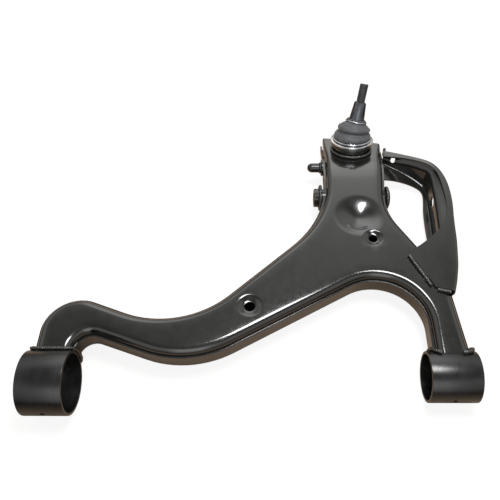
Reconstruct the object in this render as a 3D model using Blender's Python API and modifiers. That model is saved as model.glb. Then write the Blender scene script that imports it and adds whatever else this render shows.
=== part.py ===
"""Lower suspension control arm: two pressed shells, two bush sleeves, a damper bracket and a ball joint.

Units are metres, +Z is up, +X runs from the rear sleeve to the front sleeve and +Y points outboard
to the ball joint. The arm is laid out from the rear sleeve's axis and is then set down on Z = 0.
"""
import math

import bmesh
import bpy
from mathutils import Matrix, Vector, geometry

for old in list(bpy.data.objects):
    bpy.data.objects.remove(old, do_unlink=True)

MM = 0.001
GAP = 0.3 * MM                      # air left between touching pieces

# Bush sleeves: the rear one is the larger, both axes run along X.
SLEEVE_SPREAD = 516.0 * MM
REAR_R = 40.8 * MM
REAR_LENGTH = 57.0 * MM
FRONT_R = 33.0 * MM
FRONT_LENGTH = 64.5 * MM
REAR_SETBACK = -1.0 * MM
FRONT_SETBACK = 11.7 * MM
SLEEVE_WALL = 3.5 * MM
SLEEVE_HOLE_R = 3.0 * MM
REAR_X = -SLEEVE_SPREAD / 2
FRONT_X = SLEEVE_SPREAD / 2

# Pressed shells of the arm.
SHEET = 3.0 * MM
ARM_TOP = 58.0 * MM
ARM_BOTTOM = 18.0 * MM
TOP_BEND = 10.0 * MM
BOTTOM_BEND = 8.0 * MM
LOWER_WALL_TOP = ARM_TOP - TOP_BEND - 1.5 * MM
UPPER_WALL_BOTTOM = ARM_BOTTOM + 14.0 * MM
REAR_LEG_W = 52.0 * MM
FRONT_LEG_W = 52.5 * MM
FRONT_LEG_X = FRONT_X + 4.2 * MM
NECK_X = 152.3 * MM
NECK_W = 91.5 * MM
NECK_END_X = 162.5 * MM
NECK_END_W = 107.0 * MM
ARM_REACH = 443.5 * MM              # rear sleeve axis to the middle of the arm's outer end
END_SKEW = math.radians(13.5)       # the outer end is cut shorter on its bracket side
DROOP_START = 335.0 * MM
DROOP_ANGLE = math.radians(20.0)
DROOP_RADIUS = 146.0 * MM
END_DEPTH = 27.0 * MM               # depth of the arm at its outer end

# Pressed details in the upper shell: x, y, hole radius, dish radius, dish depth.
DISHES = (
    (-5.0 * MM, 103.0 * MM, 7.5 * MM, 18.0 * MM, 4.0 * MM),
    (173.1 * MM, 216.5 * MM, 6.5 * MM, 16.0 * MM, 3.5 * MM),
)
BOWL_X = 155.5 * MM
BOWL_Y = 258.0 * MM
BOWL_R = 40.0 * MM
BOWL_DEPTH = 7.5 * MM

# Damper bolt: a tube through the neck with a weld nut at one end; the bracket's own hole faces it.
BOLT_Y = 311.0 * MM
BOLT_Z = 33.5 * MM
BOLT_BORE_R = 8.25 * MM
TUBE_R = 13.7 * MM
TUBE_STAND_OUT = 8.5 * MM
NUT_ACROSS = 31.0 * MM
NUT_HEIGHT = 13.0 * MM

# Sensor stud on the neck's left wall.
STUD_Y = 373.0 * MM
STUD_Z = 36.0 * MM
STUD_FLANGE_R = 13.0 * MM
STUD_FLANGE_T = 3.0 * MM
STUD_SHANK_R = 4.0 * MM
STUD_SHANK_L = 15.0 * MM
CAP_R = 7.5 * MM
CAP_LENGTH = 22.0 * MM

# Damper bracket.
BRACKET_SHEET = 3.0 * MM
BRACKET_BEND = 6.0 * MM
SHOULDER_DROP = 9.8 * MM            # from the top flange down to the wall's inward step
PAD_DROP = 15.3 * MM                # from the top flange down to the flat pad below the step
PAD_HOLE = Vector((279.0 * MM, 303.0 * MM, 33.5 * MM))
PAD_HOLE_R = 9.0 * MM
DRAIN_HOLE = Vector((228.0 * MM, 396.0 * MM, 38.0 * MM))
DRAIN_HOLE_R = 4.0 * MM

# Ball joint: the ball's centre, and sizes along the housing's axis from that centre.
BALL_X = 156.0 * MM
BALL_Y = 413.3 * MM
BALL_Z = 54.3 * MM
BALL_R = 17.0 * MM
NECK_R = 8.5 * MM
SOCKET_TOP = 9.0 * MM               # top of the housing's collar and of the seat
SEAT_WALL = 3.0 * MM
CARRIER_R = 29.5 * MM
CARRIER_WALL = 4.5 * MM
CARRIER_TOP = 2.5 * MM
CARRIER_RIM_R = 34.0 * MM
CARRIER_RIM_T = 5.0 * MM
CARRIER_BOTTOM = -46.0 * MM
HOUSING_FLANGE_R = 35.0 * MM
HOUSING_FLANGE_T = 3.5 * MM
HOUSING_BOTTOM = -26.0 * MM
COVER_T = 3.0 * MM
SNAP_RING_T = 2.0 * MM
STUD_TILT = math.radians(17.0)      # rest angle between the stud and the housing's axis
STUD_AZIMUTH = math.radians(55.0)   # direction of that lean, from +X towards outboard
BOOT_WALL = 2.0 * MM
BOOT_R = 28.2 * MM                  # groove that the lower ring clamps
BOOT_NECK_R = 15.4 * MM             # groove that the upper ring clamps
BOOT_TOP = 37.5 * MM
LOWER_WIRE_R = 1.3 * MM
UPPER_WIRE_R = 0.9 * MM
TAPER_BASE_R = 12.6 * MM
TAPER_TOP_R = 9.7 * MM
TAPER_LENGTH = 28.0 * MM
THREAD_R = 7.0 * MM
THREAD_LENGTH = 28.0 * MM

WELD_R = 2.4 * MM

PARTS = bpy.data.collections.new("control_arm")
CUTTERS = bpy.data.collections.new("cutters")
bpy.context.scene.collection.children.link(PARTS)
bpy.context.scene.collection.children.link(CUTTERS)
ROOT = bpy.data.objects.new("arm_frame", None)
PARTS.objects.link(ROOT)


# ---------------------------------------------------------------- materials
def material(name, colour, roughness, metallic):
    mat = bpy.data.materials.new(name)
    mat.use_nodes = True
    shader = mat.node_tree.nodes["Principled BSDF"]
    shader.inputs["Base Color"].default_value = (*colour, 1.0)
    shader.inputs["Roughness"].default_value = roughness
    shader.inputs["Metallic"].default_value = metallic
    return mat


PAINT = material("black_paint", (0.020, 0.020, 0.020), 0.25, 0.0)
WELD = material("painted_weld", (0.030, 0.030, 0.030), 0.35, 0.0)
SATIN = material("satin_black", (0.015, 0.015, 0.015), 0.45, 0.0)
PLATED = material("plated_steel", (0.600, 0.600, 0.620), 0.25, 1.0)
STEEL = material("ground_steel", (0.320, 0.320, 0.330), 0.30, 1.0)
RUBBER = material("grey_rubber", (0.080, 0.080, 0.085), 0.70, 0.0)
NYLON = material("seat_plastic", (0.600, 0.580, 0.520), 0.50, 0.0)


# ---------------------------------------------------------------- object helpers
def add_object(name, mesh, mat, collection=PARTS):
    obj = bpy.data.objects.new(name, mesh)
    mesh.materials.clear()
    mesh.materials.append(mat)
    collection.objects.link(obj)
    obj.parent = ROOT
    if collection is CUTTERS:
        obj.hide_render = True
        obj.display_type = "WIRE"
    return obj


def mesh_from(bm, name):
    mesh = bpy.data.meshes.new(name)
    bmesh.ops.recalc_face_normals(bm, faces=bm.faces[:])
    bm.to_mesh(mesh)
    bm.free()
    mesh.shade_smooth()
    mesh.set_sharp_from_angle(angle=math.radians(35.0))
    return mesh


def axis_frame(origin, axis):
    """Matrix whose local Z runs along the axis."""
    turn = Vector((0.0, 0.0, 1.0)).rotation_difference(Vector(axis).normalized())
    return Matrix.Translation(origin) @ turn.to_matrix().to_4x4()


def cylinder(name, origin, axis, radius, length, segments=32, mat=SATIN, collection=CUTTERS):
    """Solid cylinder centred on the origin, along the axis."""
    bm = bmesh.new()
    bmesh.ops.create_cone(bm, cap_ends=True, segments=segments, radius1=radius, radius2=radius, depth=length)
    obj = add_object(name, mesh_from(bm, name), mat, collection)
    obj.matrix_world = axis_frame(origin, axis)
    return obj


def box(name, low, high, mat=SATIN, collection=CUTTERS):
    bm = bmesh.new()
    bmesh.ops.create_cube(bm, size=1.0)
    bmesh.ops.scale(bm, vec=Vector(high) - Vector(low), verts=bm.verts[:])
    bmesh.ops.translate(bm, vec=(Vector(low) + Vector(high)) / 2, verts=bm.verts[:])
    return add_object(name, mesh_from(bm, name), mat, collection)


def cut(obj, cutter):
    boolean = obj.modifiers.new(cutter.name, "BOOLEAN")
    boolean.operation = "DIFFERENCE"
    boolean.object = cutter
    boolean.solver = "EXACT"


def solidify(obj, thickness, offset):
    wall = obj.modifiers.new("sheet", "SOLIDIFY")
    wall.thickness = thickness
    wall.offset = offset
    wall.use_even_offset = True
    return wall


def turned(name, profile, origin, axis, mat, segments=28):
    """Turned piece: profile points are (radius, height) round the outside from the top and back inside.

    A profile that starts and ends on the axis makes a solid piece, a closed loop makes a ring.
    """
    bm = bmesh.new()
    verts = [bm.verts.new((radius, 0.0, height)) for radius, height in profile]
    for first, second in zip(verts, verts[1:]):
        bm.edges.new((first, second))
    if profile[0][0] > 0.0:
        bm.edges.new((verts[-1], verts[0]))
    mesh = bpy.data.meshes.new(name)
    bm.to_mesh(mesh)
    bm.free()
    obj = add_object(name, mesh, mat)
    screw = obj.modifiers.new("turn", "SCREW")
    screw.steps = segments
    screw.render_steps = segments
    screw.use_merge_vertices = True
    screw.merge_threshold = 0.00001
    obj.matrix_world = axis_frame(origin, axis)
    return obj


def round_bar(radius, height, centre_radius, count=6):
    """Closed circle profile, clockwise seen with +radius to the right and +height up."""
    return [(centre_radius + radius * math.cos(-math.tau * i / count),
             height + radius * math.sin(-math.tau * i / count)) for i in range(count)]


def bead(name, points, closed=False, sides=6):
    """Weld bead: a tube swept along the points, its section swelling a little from drop to drop."""
    bm = bmesh.new()
    count = len(points)
    rings = []
    for i, point in enumerate(points):
        before = points[i - 1] if i > 0 or closed else points[i]
        after = points[(i + 1) % count] if i < count - 1 or closed else points[i]
        along = (Vector(after) - Vector(before)).normalized()
        side = along.orthogonal() if not rings else (side - along * side.dot(along)).normalized()
        side = side.normalized()
        up = along.cross(side)
        size = WELD_R * (1.0 if i % 2 else 0.9)
        ring = [bm.verts.new(Vector(point) + size * (math.cos(a) * side + math.sin(a) * up))
                for a in (math.tau * k / sides for k in range(sides))]
        rings.append(ring)
    pairs = list(zip(rings, rings[1:]))
    if closed:
        pairs.append((rings[-1], rings[0]))
    for near, far in pairs:
        for k in range(sides):
            bm.faces.new((near[k], near[(k + 1) % sides], far[(k + 1) % sides], far[k]))
    if not closed:
        bm.faces.new(rings[0])
        bm.faces.new(rings[-1])
    return add_object(name, mesh_from(bm, name), WELD)


# ---------------------------------------------------------------- plan outline of the arm
LEG_END_Y = -4.0 * MM
LEG_END_R = 16.0 * MM
NECK_LEFT = NECK_X - NECK_W / 2
NECK_RIGHT = NECK_X + NECK_W / 2
CORNERS = (                         # x, y and fillet radius, clockwise seen from above
    (REAR_X - REAR_LEG_W / 2, LEG_END_Y, LEG_END_R),
    (REAR_X - REAR_LEG_W / 2, 137.0 * MM, 48.0 * MM),
    (-96.0 * MM, 67.0 * MM, 137.0 * MM),
    (NECK_LEFT, 257.0 * MM, 168.0 * MM),
    (NECK_END_X - NECK_END_W / 2, ARM_REACH + 34.0 * MM, LEG_END_R),
    (NECK_END_X + NECK_END_W / 2, ARM_REACH + 34.0 * MM, LEG_END_R),
    (NECK_RIGHT, 274.0 * MM, 95.0 * MM),
    (FRONT_LEG_X + 10.5 * MM, 151.0 * MM, 80.0 * MM),
    (FRONT_LEG_X + FRONT_LEG_W / 2, LEG_END_Y, LEG_END_R),
    (FRONT_LEG_X - FRONT_LEG_W / 2, LEG_END_Y, LEG_END_R),
    (FRONT_LEG_X - FRONT_LEG_W / 2 + 1.0 * MM, 197.0 * MM, 68.0 * MM),
    (-81.0 * MM, 16.6 * MM, 142.0 * MM),
    (REAR_X + REAR_LEG_W / 2, 69.3 * MM, 20.0 * MM),
    (REAR_X + REAR_LEG_W / 2, LEG_END_Y, LEG_END_R),
)
LONGEST_STEP = 30.0 * MM


def fillet_arcs(inset):
    """Start point, end point and arc of each corner of the outline moved inwards by the inset."""
    count = len(CORNERS)
    points = [Vector(corner[:2]) for corner in CORNERS]
    arcs = []
    for i in range(count):
        here = points[i]
        into = (here - points[i - 1]).normalized()
        out = (points[(i + 1) % count] - here).normalized()
        turn = into.x * out.y - into.y * out.x
        half = math.acos(max(-1.0, min(1.0, into.dot(out)))) / 2
        inward_into = Vector((into.y, -into.x))
        inward_out = Vector((out.y, -out.x))
        corner = here + (inward_into + inward_out).normalized() * inset / math.cos(half)
        radius = CORNERS[i][2] + (inset if turn > 0 else -inset)
        side = 1.0 if turn > 0 else -1.0
        tangent = radius * math.tan(half)
        centre = corner - into * tangent + Vector((-into.y, into.x)) * side * radius
        start_angle = math.atan2(-side * into.x, side * into.y)
        arcs.append((centre, radius, start_angle, side * 2 * half))
    return arcs


def outline(inset):
    """Closed loop of plan points; every inset gives the same number of points."""
    loop = []
    base = fillet_arcs(0.0)
    moved = fillet_arcs(inset)
    for i, (centre, radius, start, sweep) in enumerate(moved):
        step = math.radians(10.0 if CORNERS[i][2] > 90.0 * MM else 18.0)
        count = max(2, math.ceil(abs(sweep) / step))
        for k in range(count + 1):
            angle = start + sweep * k / count
            loop.append(centre + radius * Vector((math.cos(angle), math.sin(angle))))
        following = moved[(i + 1) % len(moved)]
        base_end = base[i][0] + base[i][1] * Vector((math.cos(start + sweep), math.sin(start + sweep)))
        base_next = base[(i + 1) % len(base)]
        base_start = base_next[0] + base_next[1] * Vector((math.cos(base_next[2]), math.sin(base_next[2])))
        extra = int((base_start - base_end).length / LONGEST_STEP)
        first = loop[-1]
        last = following[0] + following[1] * Vector((math.cos(following[2]), math.sin(following[2])))
        loop.extend(first.lerp(last, k / (extra + 1)) for k in range(1, extra + 1))
    return loop


# ---------------------------------------------------------------- height of the shells
def droop(y):
    """Fall of the arm's outer end below its flat top."""
    if y <= DROOP_START:
        return 0.0
    bend_end = DROOP_START + DROOP_RADIUS * math.sin(DROOP_ANGLE)
    if y < bend_end:
        run = y - DROOP_START
        return DROOP_RADIUS - math.sqrt(DROOP_RADIUS ** 2 - run ** 2)
    fall = DROOP_RADIUS * (1.0 - math.cos(DROOP_ANGLE))
    return fall + (y - bend_end) * math.tan(DROOP_ANGLE)


def smooth(value):
    value = max(0.0, min(1.0, value))
    return value * value * (3.0 - 2.0 * value)


def top_height(x, y):
    height = ARM_TOP - droop(y)
    reach = math.hypot(x - BOWL_X, y - BOWL_Y) / BOWL_R
    height -= BOWL_DEPTH * smooth(1.0 - reach)
    for dish_x, dish_y, hole_r, dish_r, depth in DISHES:
        distance = math.hypot(x - dish_x, y - dish_y)
        height -= depth * smooth((dish_r - distance) / (dish_r - hole_r))
    return height


def bottom_height(x, y):
    depth = ARM_TOP - ARM_BOTTOM
    thinning = smooth((y - DROOP_START) / (ARM_REACH - DROOP_START))
    return ARM_TOP - droop(y) - depth + (depth - END_DEPTH) * thinning


# ---------------------------------------------------------------- pressed shells
def pan(name, inset, bend, wall_end, height, side, features=()):
    """Pressed pan: a skin, a bend all round it and a wall. side is +1 for an upper pan, -1 for a lower."""
    bm = bmesh.new()
    bend_steps = 3
    loops = []
    for k in range(bend_steps + 1):
        angle = math.pi / 2 * k / bend_steps
        move = inset + bend * (1.0 - math.sin(angle))
        drop = bend * (1.0 - math.cos(angle))
        loops.append([(p, drop) for p in outline(move)])
    rings = [[bm.verts.new((p.x, p.y, height(p.x, p.y) - side * drop)) for p, drop in loop] for loop in loops]
    wall = [bm.verts.new((v.co.x, v.co.y, v.co.z - side * wall_end(v.co.y))) for v in rings[-1]]
    rings.append(wall)
    count = len(rings[0])
    for outer, inner in zip(rings[1:], rings):
        for k in range(count):
            following = (k + 1) % count
            bm.faces.new((inner[k], inner[following], outer[following], outer[k]))

    flat = [Vector((v.co.x, v.co.y)) for v in rings[0]]
    edges = [(k, (k + 1) % count) for k in range(count)]
    holes = [(Vector((x, y)), hole_r) for x, y, hole_r, reach in features if hole_r > 0.0]
    points = list(flat)
    for centre_x, centre_y, hole_r, reach in features:
        steps = 14
        radii = [hole_r] if hole_r > 0.0 else []
        spacing = 4 if hole_r > 0.0 else 5
        radii += [hole_r + (reach - hole_r) * k / spacing for k in range(1, spacing + 1)]
        for radius in radii:
            first = len(points)
            for k in range(steps):
                angle = math.tau * k / steps
                points.append(Vector((centre_x + radius * math.cos(angle), centre_y + radius * math.sin(angle))))
            if radius == hole_r:
                edges += [(first + k, first + (k + 1) % steps) for k in range(steps)]
        if hole_r == 0.0:
            points.append(Vector((centre_x, centre_y)))
    droop_rows = 7
    for row in range(droop_rows + 1):
        y = DROOP_START + (DROOP_RADIUS * math.sin(DROOP_ANGLE)) * row / droop_rows
        for column in range(4):
            points.append(Vector((NECK_X + (column - 1.5) * NECK_W / 6, y)))
    made = geometry.delaunay_2d_cdt(points, edges, [], 2, 1e-6)
    lookup = []
    for place, sources in zip(made[0], made[3]):
        ring_index = next((s for s in sources if s < count), None)
        if ring_index is not None:
            lookup.append(rings[0][ring_index])
        else:
            lookup.append(bm.verts.new((place.x, place.y, height(place.x, place.y))))
    for face in made[2]:
        centre = sum((made[0][k] for k in face), Vector((0.0, 0.0))) / len(face)
        if not any((centre - place).length < radius for place, radius in holes):
            bm.faces.new([lookup[k] for k in face])
    loose = [v for v in bm.verts if not v.link_faces]
    bmesh.ops.delete(bm, geom=loose, context="VERTS")
    bmesh.ops.recalc_face_normals(bm, faces=bm.faces[:])
    middle = max(bm.faces, key=lambda f: side * f.calc_center_median().z)
    if middle.normal.z * side < 0.0:
        bmesh.ops.reverse_faces(bm, faces=bm.faces[:])
    mesh = bpy.data.meshes.new(name)
    bm.to_mesh(mesh)
    bm.free()
    mesh.shade_smooth()
    mesh.set_sharp_from_angle(angle=math.radians(50.0))
    obj = add_object(name, mesh, PAINT)
    solidify(obj, SHEET, -1.0)
    return obj


UPPER_INSET = SHEET + GAP
upper_features = [(x, y, hole, dish) for x, y, hole, dish, depth in DISHES] + [(BOWL_X, BOWL_Y, 0.0, BOWL_R)]
upper_shell = pan("upper_shell", UPPER_INSET, TOP_BEND,
                  lambda y: ARM_TOP - TOP_BEND - UPPER_WALL_BOTTOM
                  - 9.0 * MM * smooth((y - DROOP_START) / (80.0 * MM)),
                  top_height, 1.0, upper_features)
lower_shell = pan("lower_shell", 0.0, BOTTOM_BEND,
                  lambda y: LOWER_WALL_TOP - ARM_BOTTOM - BOTTOM_BEND - (ARM_TOP - ARM_BOTTOM - END_DEPTH)
                  * smooth((y - DROOP_START) / (ARM_REACH - DROOP_START)),
                  bottom_height, -1.0)


# ---------------------------------------------------------------- axes of the ball joint
BALL = Vector((BALL_X, BALL_Y, BALL_Z))
HOUSING_AXIS = Vector((0.0, math.sin(DROOP_ANGLE), math.cos(DROOP_ANGLE)))
OUTBOARD = Vector((0.0, math.cos(DROOP_ANGLE), -math.sin(DROOP_ANGLE)))
LEAN = math.cos(STUD_AZIMUTH) * Vector((1.0, 0.0, 0.0)) + math.sin(STUD_AZIMUTH) * OUTBOARD
STUD_AXIS = (math.cos(STUD_TILT) * HOUSING_AXIS + math.sin(STUD_TILT) * LEAN).normalized()


def wall_x(y, side):
    """X of the neck's outer wall face at y: side is -1 for the left wall, +1 for the right."""
    loop = outline(0.0)
    crossings = []
    for first, second in zip(loop, loop[1:] + loop[:1]):
        if (first.y - y) * (second.y - y) <= 0.0 and first.y != second.y:
            crossings.append(first.x + (second.x - first.x) * (y - first.y) / (second.y - first.y))
    return min(crossings) if side < 0 else max(crossings)


def wall_reach(y, half, side):
    """Outermost X of the neck's wall over y - half to y + half."""
    steps = [wall_x(y + half * k / 4, side) for k in range(-4, 5)]
    return min(steps) if side < 0 else max(steps)


# ---------------------------------------------------------------- bush sleeves
def sleeve(name, x, y, radius, length):
    chamfer = 0.8 * MM
    inner = radius - SLEEVE_WALL
    half = length / 2
    profile = [(radius - chamfer, half), (radius, half - chamfer), (radius, chamfer - half),
               (radius - chamfer, -half), (inner, -half), (inner, half)]
    obj = turned(name, profile, Vector((x, y, radius)), (1.0, 0.0, 0.0), SATIN, 44)
    hole = cylinder(name + "_hole", Vector((x, y - radius, radius)), (0.0, 1.0, 0.0), SLEEVE_HOLE_R, radius, 16)
    cut(obj, hole)
    clearance = cylinder(name + "_clearance", Vector((x, y, radius)), (1.0, 0.0, 0.0), radius + GAP,
                         length + 20.0 * MM, 60)
    for shell in (upper_shell, lower_shell):
        cut(shell, clearance)


sleeve("rear_bush_sleeve", REAR_X, REAR_SETBACK, REAR_R, REAR_LENGTH)
sleeve("front_bush_sleeve", FRONT_X, FRONT_SETBACK, FRONT_R, FRONT_LENGTH)

# ---------------------------------------------------------------- open outer end and the carrier's hole
end_box = box("end_trim", (-120.0 * MM, 0.0, -90.0 * MM), (120.0 * MM, 90.0 * MM, 90.0 * MM))
end_box.location = (NECK_END_X, ARM_REACH, ARM_TOP - droop(ARM_REACH))
end_box.rotation_euler = (-DROOP_ANGLE, 0.0, -END_SKEW)
carrier_hole = cylinder("carrier_hole", BALL - 20.0 * MM * HOUSING_AXIS, HOUSING_AXIS, CARRIER_R + GAP,
                        110.0 * MM, 40)
for shell in (upper_shell, lower_shell):
    cut(shell, end_box)
    cut(shell, carrier_hole)

# ---------------------------------------------------------------- damper bolt tube and weld nut
NUT_FACE = wall_reach(BOLT_Y, NUT_ACROSS / 2, -1) - GAP
TUBE_LEFT = NUT_FACE + GAP
TUBE_RIGHT = wall_x(BOLT_Y, 1) + TUBE_STAND_OUT
tube_hole = cylinder("tube_hole", Vector((NECK_X, BOLT_Y, BOLT_Z)), (1.0, 0.0, 0.0), TUBE_R + GAP, 2.0 * NECK_W)
for shell in (upper_shell, lower_shell):
    cut(shell, tube_hole)
half_tube = (TUBE_RIGHT - TUBE_LEFT) / 2
turned("damper_bolt_tube",
       [(TUBE_R - MM, half_tube), (TUBE_R, half_tube - MM), (TUBE_R, -half_tube), (BOLT_BORE_R, -half_tube),
        (BOLT_BORE_R, half_tube)],
       Vector(((TUBE_LEFT + TUBE_RIGHT) / 2, BOLT_Y, BOLT_Z)), (1.0, 0.0, 0.0), SATIN)
nut = cylinder("damper_weld_nut", Vector((NUT_FACE - NUT_HEIGHT / 2, BOLT_Y, BOLT_Z)), (1.0, 0.0, 0.0),
               NUT_ACROSS / 2, NUT_HEIGHT, 6, SATIN, PARTS)
cut(nut, cylinder("nut_bore", Vector((NUT_FACE, BOLT_Y, BOLT_Z)), (1.0, 0.0, 0.0), BOLT_BORE_R, 4 * NUT_HEIGHT))

# ---------------------------------------------------------------- sensor stud and its cap
STUD_FACE = wall_reach(STUD_Y, STUD_FLANGE_R, -1) - GAP
turned("sensor_stud",
       [(0.0, STUD_FLANGE_T + STUD_SHANK_L), (STUD_SHANK_R, STUD_FLANGE_T + STUD_SHANK_L),
        (STUD_SHANK_R, STUD_FLANGE_T), (STUD_FLANGE_R - 0.6 * MM, STUD_FLANGE_T),
        (STUD_FLANGE_R, STUD_FLANGE_T - 0.6 * MM), (STUD_FLANGE_R, 0.0), (0.0, 0.0)],
       Vector((STUD_FACE, STUD_Y, STUD_Z)), (-1.0, 0.0, 0.0), SATIN, 24)
cap_base = STUD_FLANGE_T + GAP
cap_end = cap_base + CAP_LENGTH
nose = [(CAP_R * math.sin(math.radians(18.0 * k)), cap_end - CAP_R * (1.0 - math.cos(math.radians(18.0 * k))))
        for k in range(6)]
turned("sensor_stud_cap",
       nose + [(CAP_R, cap_base + 3.0 * MM), (CAP_R + 1.5 * MM, cap_base + 2.4 * MM), (CAP_R + 1.5 * MM, cap_base),
               (STUD_SHANK_R + GAP, cap_base), (STUD_SHANK_R + GAP, STUD_FLANGE_T + STUD_SHANK_L + 1.0 * MM),
               (0.0, STUD_FLANGE_T + STUD_SHANK_L + 1.0 * MM)],
       Vector((STUD_FACE, STUD_Y, STUD_Z)), (-1.0, 0.0, 0.0), SATIN, 24)

# ---------------------------------------------------------------- damper bracket
FLANGE_TOP = ARM_TOP + GAP + BRACKET_SHEET
ARM_WALL = [wall_x(y * MM, 1) / MM - 3.0 for y in (409.0, 393.0, 398.0, 357.0)]
TOP = FLANGE_TOP / MM
BRACKET_STATIONS = (                # outer edge x, y, z; flange edge x, y; wall foot x, y, z; lip x, y (mm)
    (ARM_WALL[0], 409.0, 43.0, ARM_WALL[1], 393.0, ARM_WALL[2], 398.0, 24.0, ARM_WALL[3], 357.0),
    (221.0, 401.5, 47.0, 218.0, 388.5, 219.5, 391.5, 22.0, 222.0, 357.0),
    (250.0, 385.0, 54.5, 247.5, 376.5, 250.5, 377.0, 16.0, 242.5, 356.5),
    (275.0, 370.0, 59.5, 268.8, 363.6, 270.5, 363.5, 12.0, 258.0, 352.5),
    (287.0, 357.0, 61.2, 278.5, 354.0, 277.5, 356.0, 10.0, 268.0, 346.0),
    (295.0, 341.0, TOP, 285.5, 340.5, 280.0, 343.0, 10.0, 271.5, 336.5),
    (299.5, 322.0, TOP, 288.5, 322.0, 280.5, 325.0, 10.0, 271.0, 324.0),
    (301.0, 301.0, TOP, 290.0, 301.0, 280.5, 302.0, 10.0, 268.0, 302.0),
    (300.5, 280.0, TOP, 290.0, 281.0, 280.0, 281.0, 10.0, 266.5, 281.0),
    (298.5, 260.0, TOP, 287.0, 260.5, 279.0, 260.0, 10.0, 266.0, 260.0),
    (297.0, 243.0, TOP, 281.0, 243.0, 278.5, 243.0, 10.0, 266.0, 243.0),
    (296.0, 228.0, TOP, 268.5, 227.5, 278.5, 228.0, 10.0, 266.0, 228.0),
    (295.0, 213.0, TOP, 253.5, 213.0, 278.5, 213.0, 10.0, 266.0, 213.0),
    (293.5, 200.0, TOP, 239.0, 201.0, 279.0, 200.0, 10.0, 266.5, 200.0),
    (292.0, 188.0, TOP, 222.5, 188.0, 279.5, 188.0, 10.5, 266.0, 188.0),
    (289.5, 170.0, TOP, 231.0, 169.5, 279.5, 170.0, 13.0, 266.0, 170.0),
    (286.0, 154.0, TOP, 238.5, 153.5, 278.5, 154.0, 18.0, 265.0, 154.0),
    (282.0, 138.5, TOP, 246.0, 141.0, 277.5, 139.0, 23.0, 263.5, 140.0),
    (277.5, 124.5, TOP, 250.5, 131.0, 276.0, 125.5, 26.0, 262.0, 128.0),
)


def corner_arc(before, corner, after, radius, steps):
    """Points of a rounded corner between two straight runs of a section."""
    into = (before - corner).normalized()
    out = (after - corner).normalized()
    bisector = into + out
    if bisector.length < 0.02:
        return [corner + (into * (1 - k / steps) + out * (k / steps)) * MM for k in range(steps + 1)]
    bisector.normalize()
    reach = min(radius, 0.44 * (before - corner).length, 0.44 * (after - corner).length)
    centre = corner + bisector * reach / into.dot(bisector)
    start = corner + into * reach - centre
    end = corner + out * reach - centre
    return [centre + start.slerp(end, k / steps) * start.length for k in range(steps + 1)]


def bracket_section(values):
    """Outer face of the channel at one station, from the top flange's edge to the lip's edge."""
    ox, oy, oz, fx, fy, bx, by, bz, lx, ly = (value * MM for value in values)
    edge = Vector((fx, fy, oz))
    outer = Vector((ox, oy, oz))
    depth = oz - bz
    shoulder = Vector((ox, oy, oz - min(SHOULDER_DROP, 0.43 * depth)))
    pad = Vector((bx, by, oz - min(PAD_DROP, 0.53 * depth)))
    foot = Vector((bx, by, bz))
    lip = Vector((lx, ly, bz))
    return ([edge, edge.lerp(outer, 0.5)] + corner_arc(edge, outer, shoulder, BRACKET_BEND, 3)
            + corner_arc(outer, shoulder, pad, BRACKET_BEND, 2) + corner_arc(shoulder, pad, foot, 4.0 * MM, 2)
            + corner_arc(pad, foot, lip, BRACKET_BEND, 3) + [lip])


def spline(rows, t):
    """Catmull-Rom value of the rows at parameter t, where whole numbers are the rows."""
    i = min(int(t), len(rows) - 2)
    u = t - i
    a, b, c, d = (rows[max(0, min(len(rows) - 1, i + k))] for k in (-1, 0, 1, 2))
    return [0.5 * (2 * q + (r - p) * u + (2 * p - 5 * q + 4 * r - w) * u * u + (3 * q - p - 3 * r + w) * u ** 3)
            for p, q, r, w in zip(a, b, c, d)]


def bracket():
    steps = [k / 2 for k in range(2, 13)]
    steps = [0.0] + steps + [float(k) for k in range(7, len(BRACKET_STATIONS))]
    bm = bmesh.new()
    sections = [[bm.verts.new(p) for p in bracket_section(spline(BRACKET_STATIONS, t))] for t in steps]
    for near, far in zip(sections, sections[1:]):
        for k in range(len(near) - 1):
            bm.faces.new((near[k], near[k + 1], far[k + 1], far[k]))
    bmesh.ops.recalc_face_normals(bm, faces=bm.faces[:])
    outermost = max(bm.faces, key=lambda f: f.calc_center_median().x)
    if outermost.normal.x < 0.0:
        bmesh.ops.reverse_faces(bm, faces=bm.faces[:])
    mesh = bpy.data.meshes.new("damper_bracket")
    bm.to_mesh(mesh)
    bm.free()
    mesh.shade_smooth()
    mesh.set_sharp_from_angle(angle=math.radians(50.0))
    obj = add_object("damper_bracket", mesh, PAINT)
    solidify(obj, BRACKET_SHEET, -1.0)
    return obj


def arm_envelope():
    """Prism round the arm's outline that trims whatever is welded against its walls."""
    bm = bmesh.new()
    low, high = ([bm.verts.new((p.x, p.y, z)) for p in outline(-GAP)] for z in (-20.0 * MM, ARM_TOP + GAP / 2))
    bm.faces.new(low)
    bm.faces.new(high)
    for k in range(len(low)):
        bm.faces.new((low[k - 1], low[k], high[k], high[k - 1]))
    return add_object("arm_envelope", mesh_from(bm, "arm_envelope"), SATIN, CUTTERS)


damper_bracket = bracket()
cut(damper_bracket, arm_envelope())
cut(damper_bracket, cylinder("pad_hole", PAD_HOLE, (1.0, 0.0, 0.0), PAD_HOLE_R, 30.0 * MM))
cut(damper_bracket, cylinder("drain_hole", DRAIN_HOLE, (0.47, 0.83, 0.3), DRAIN_HOLE_R, 30.0 * MM, 16))

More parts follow.
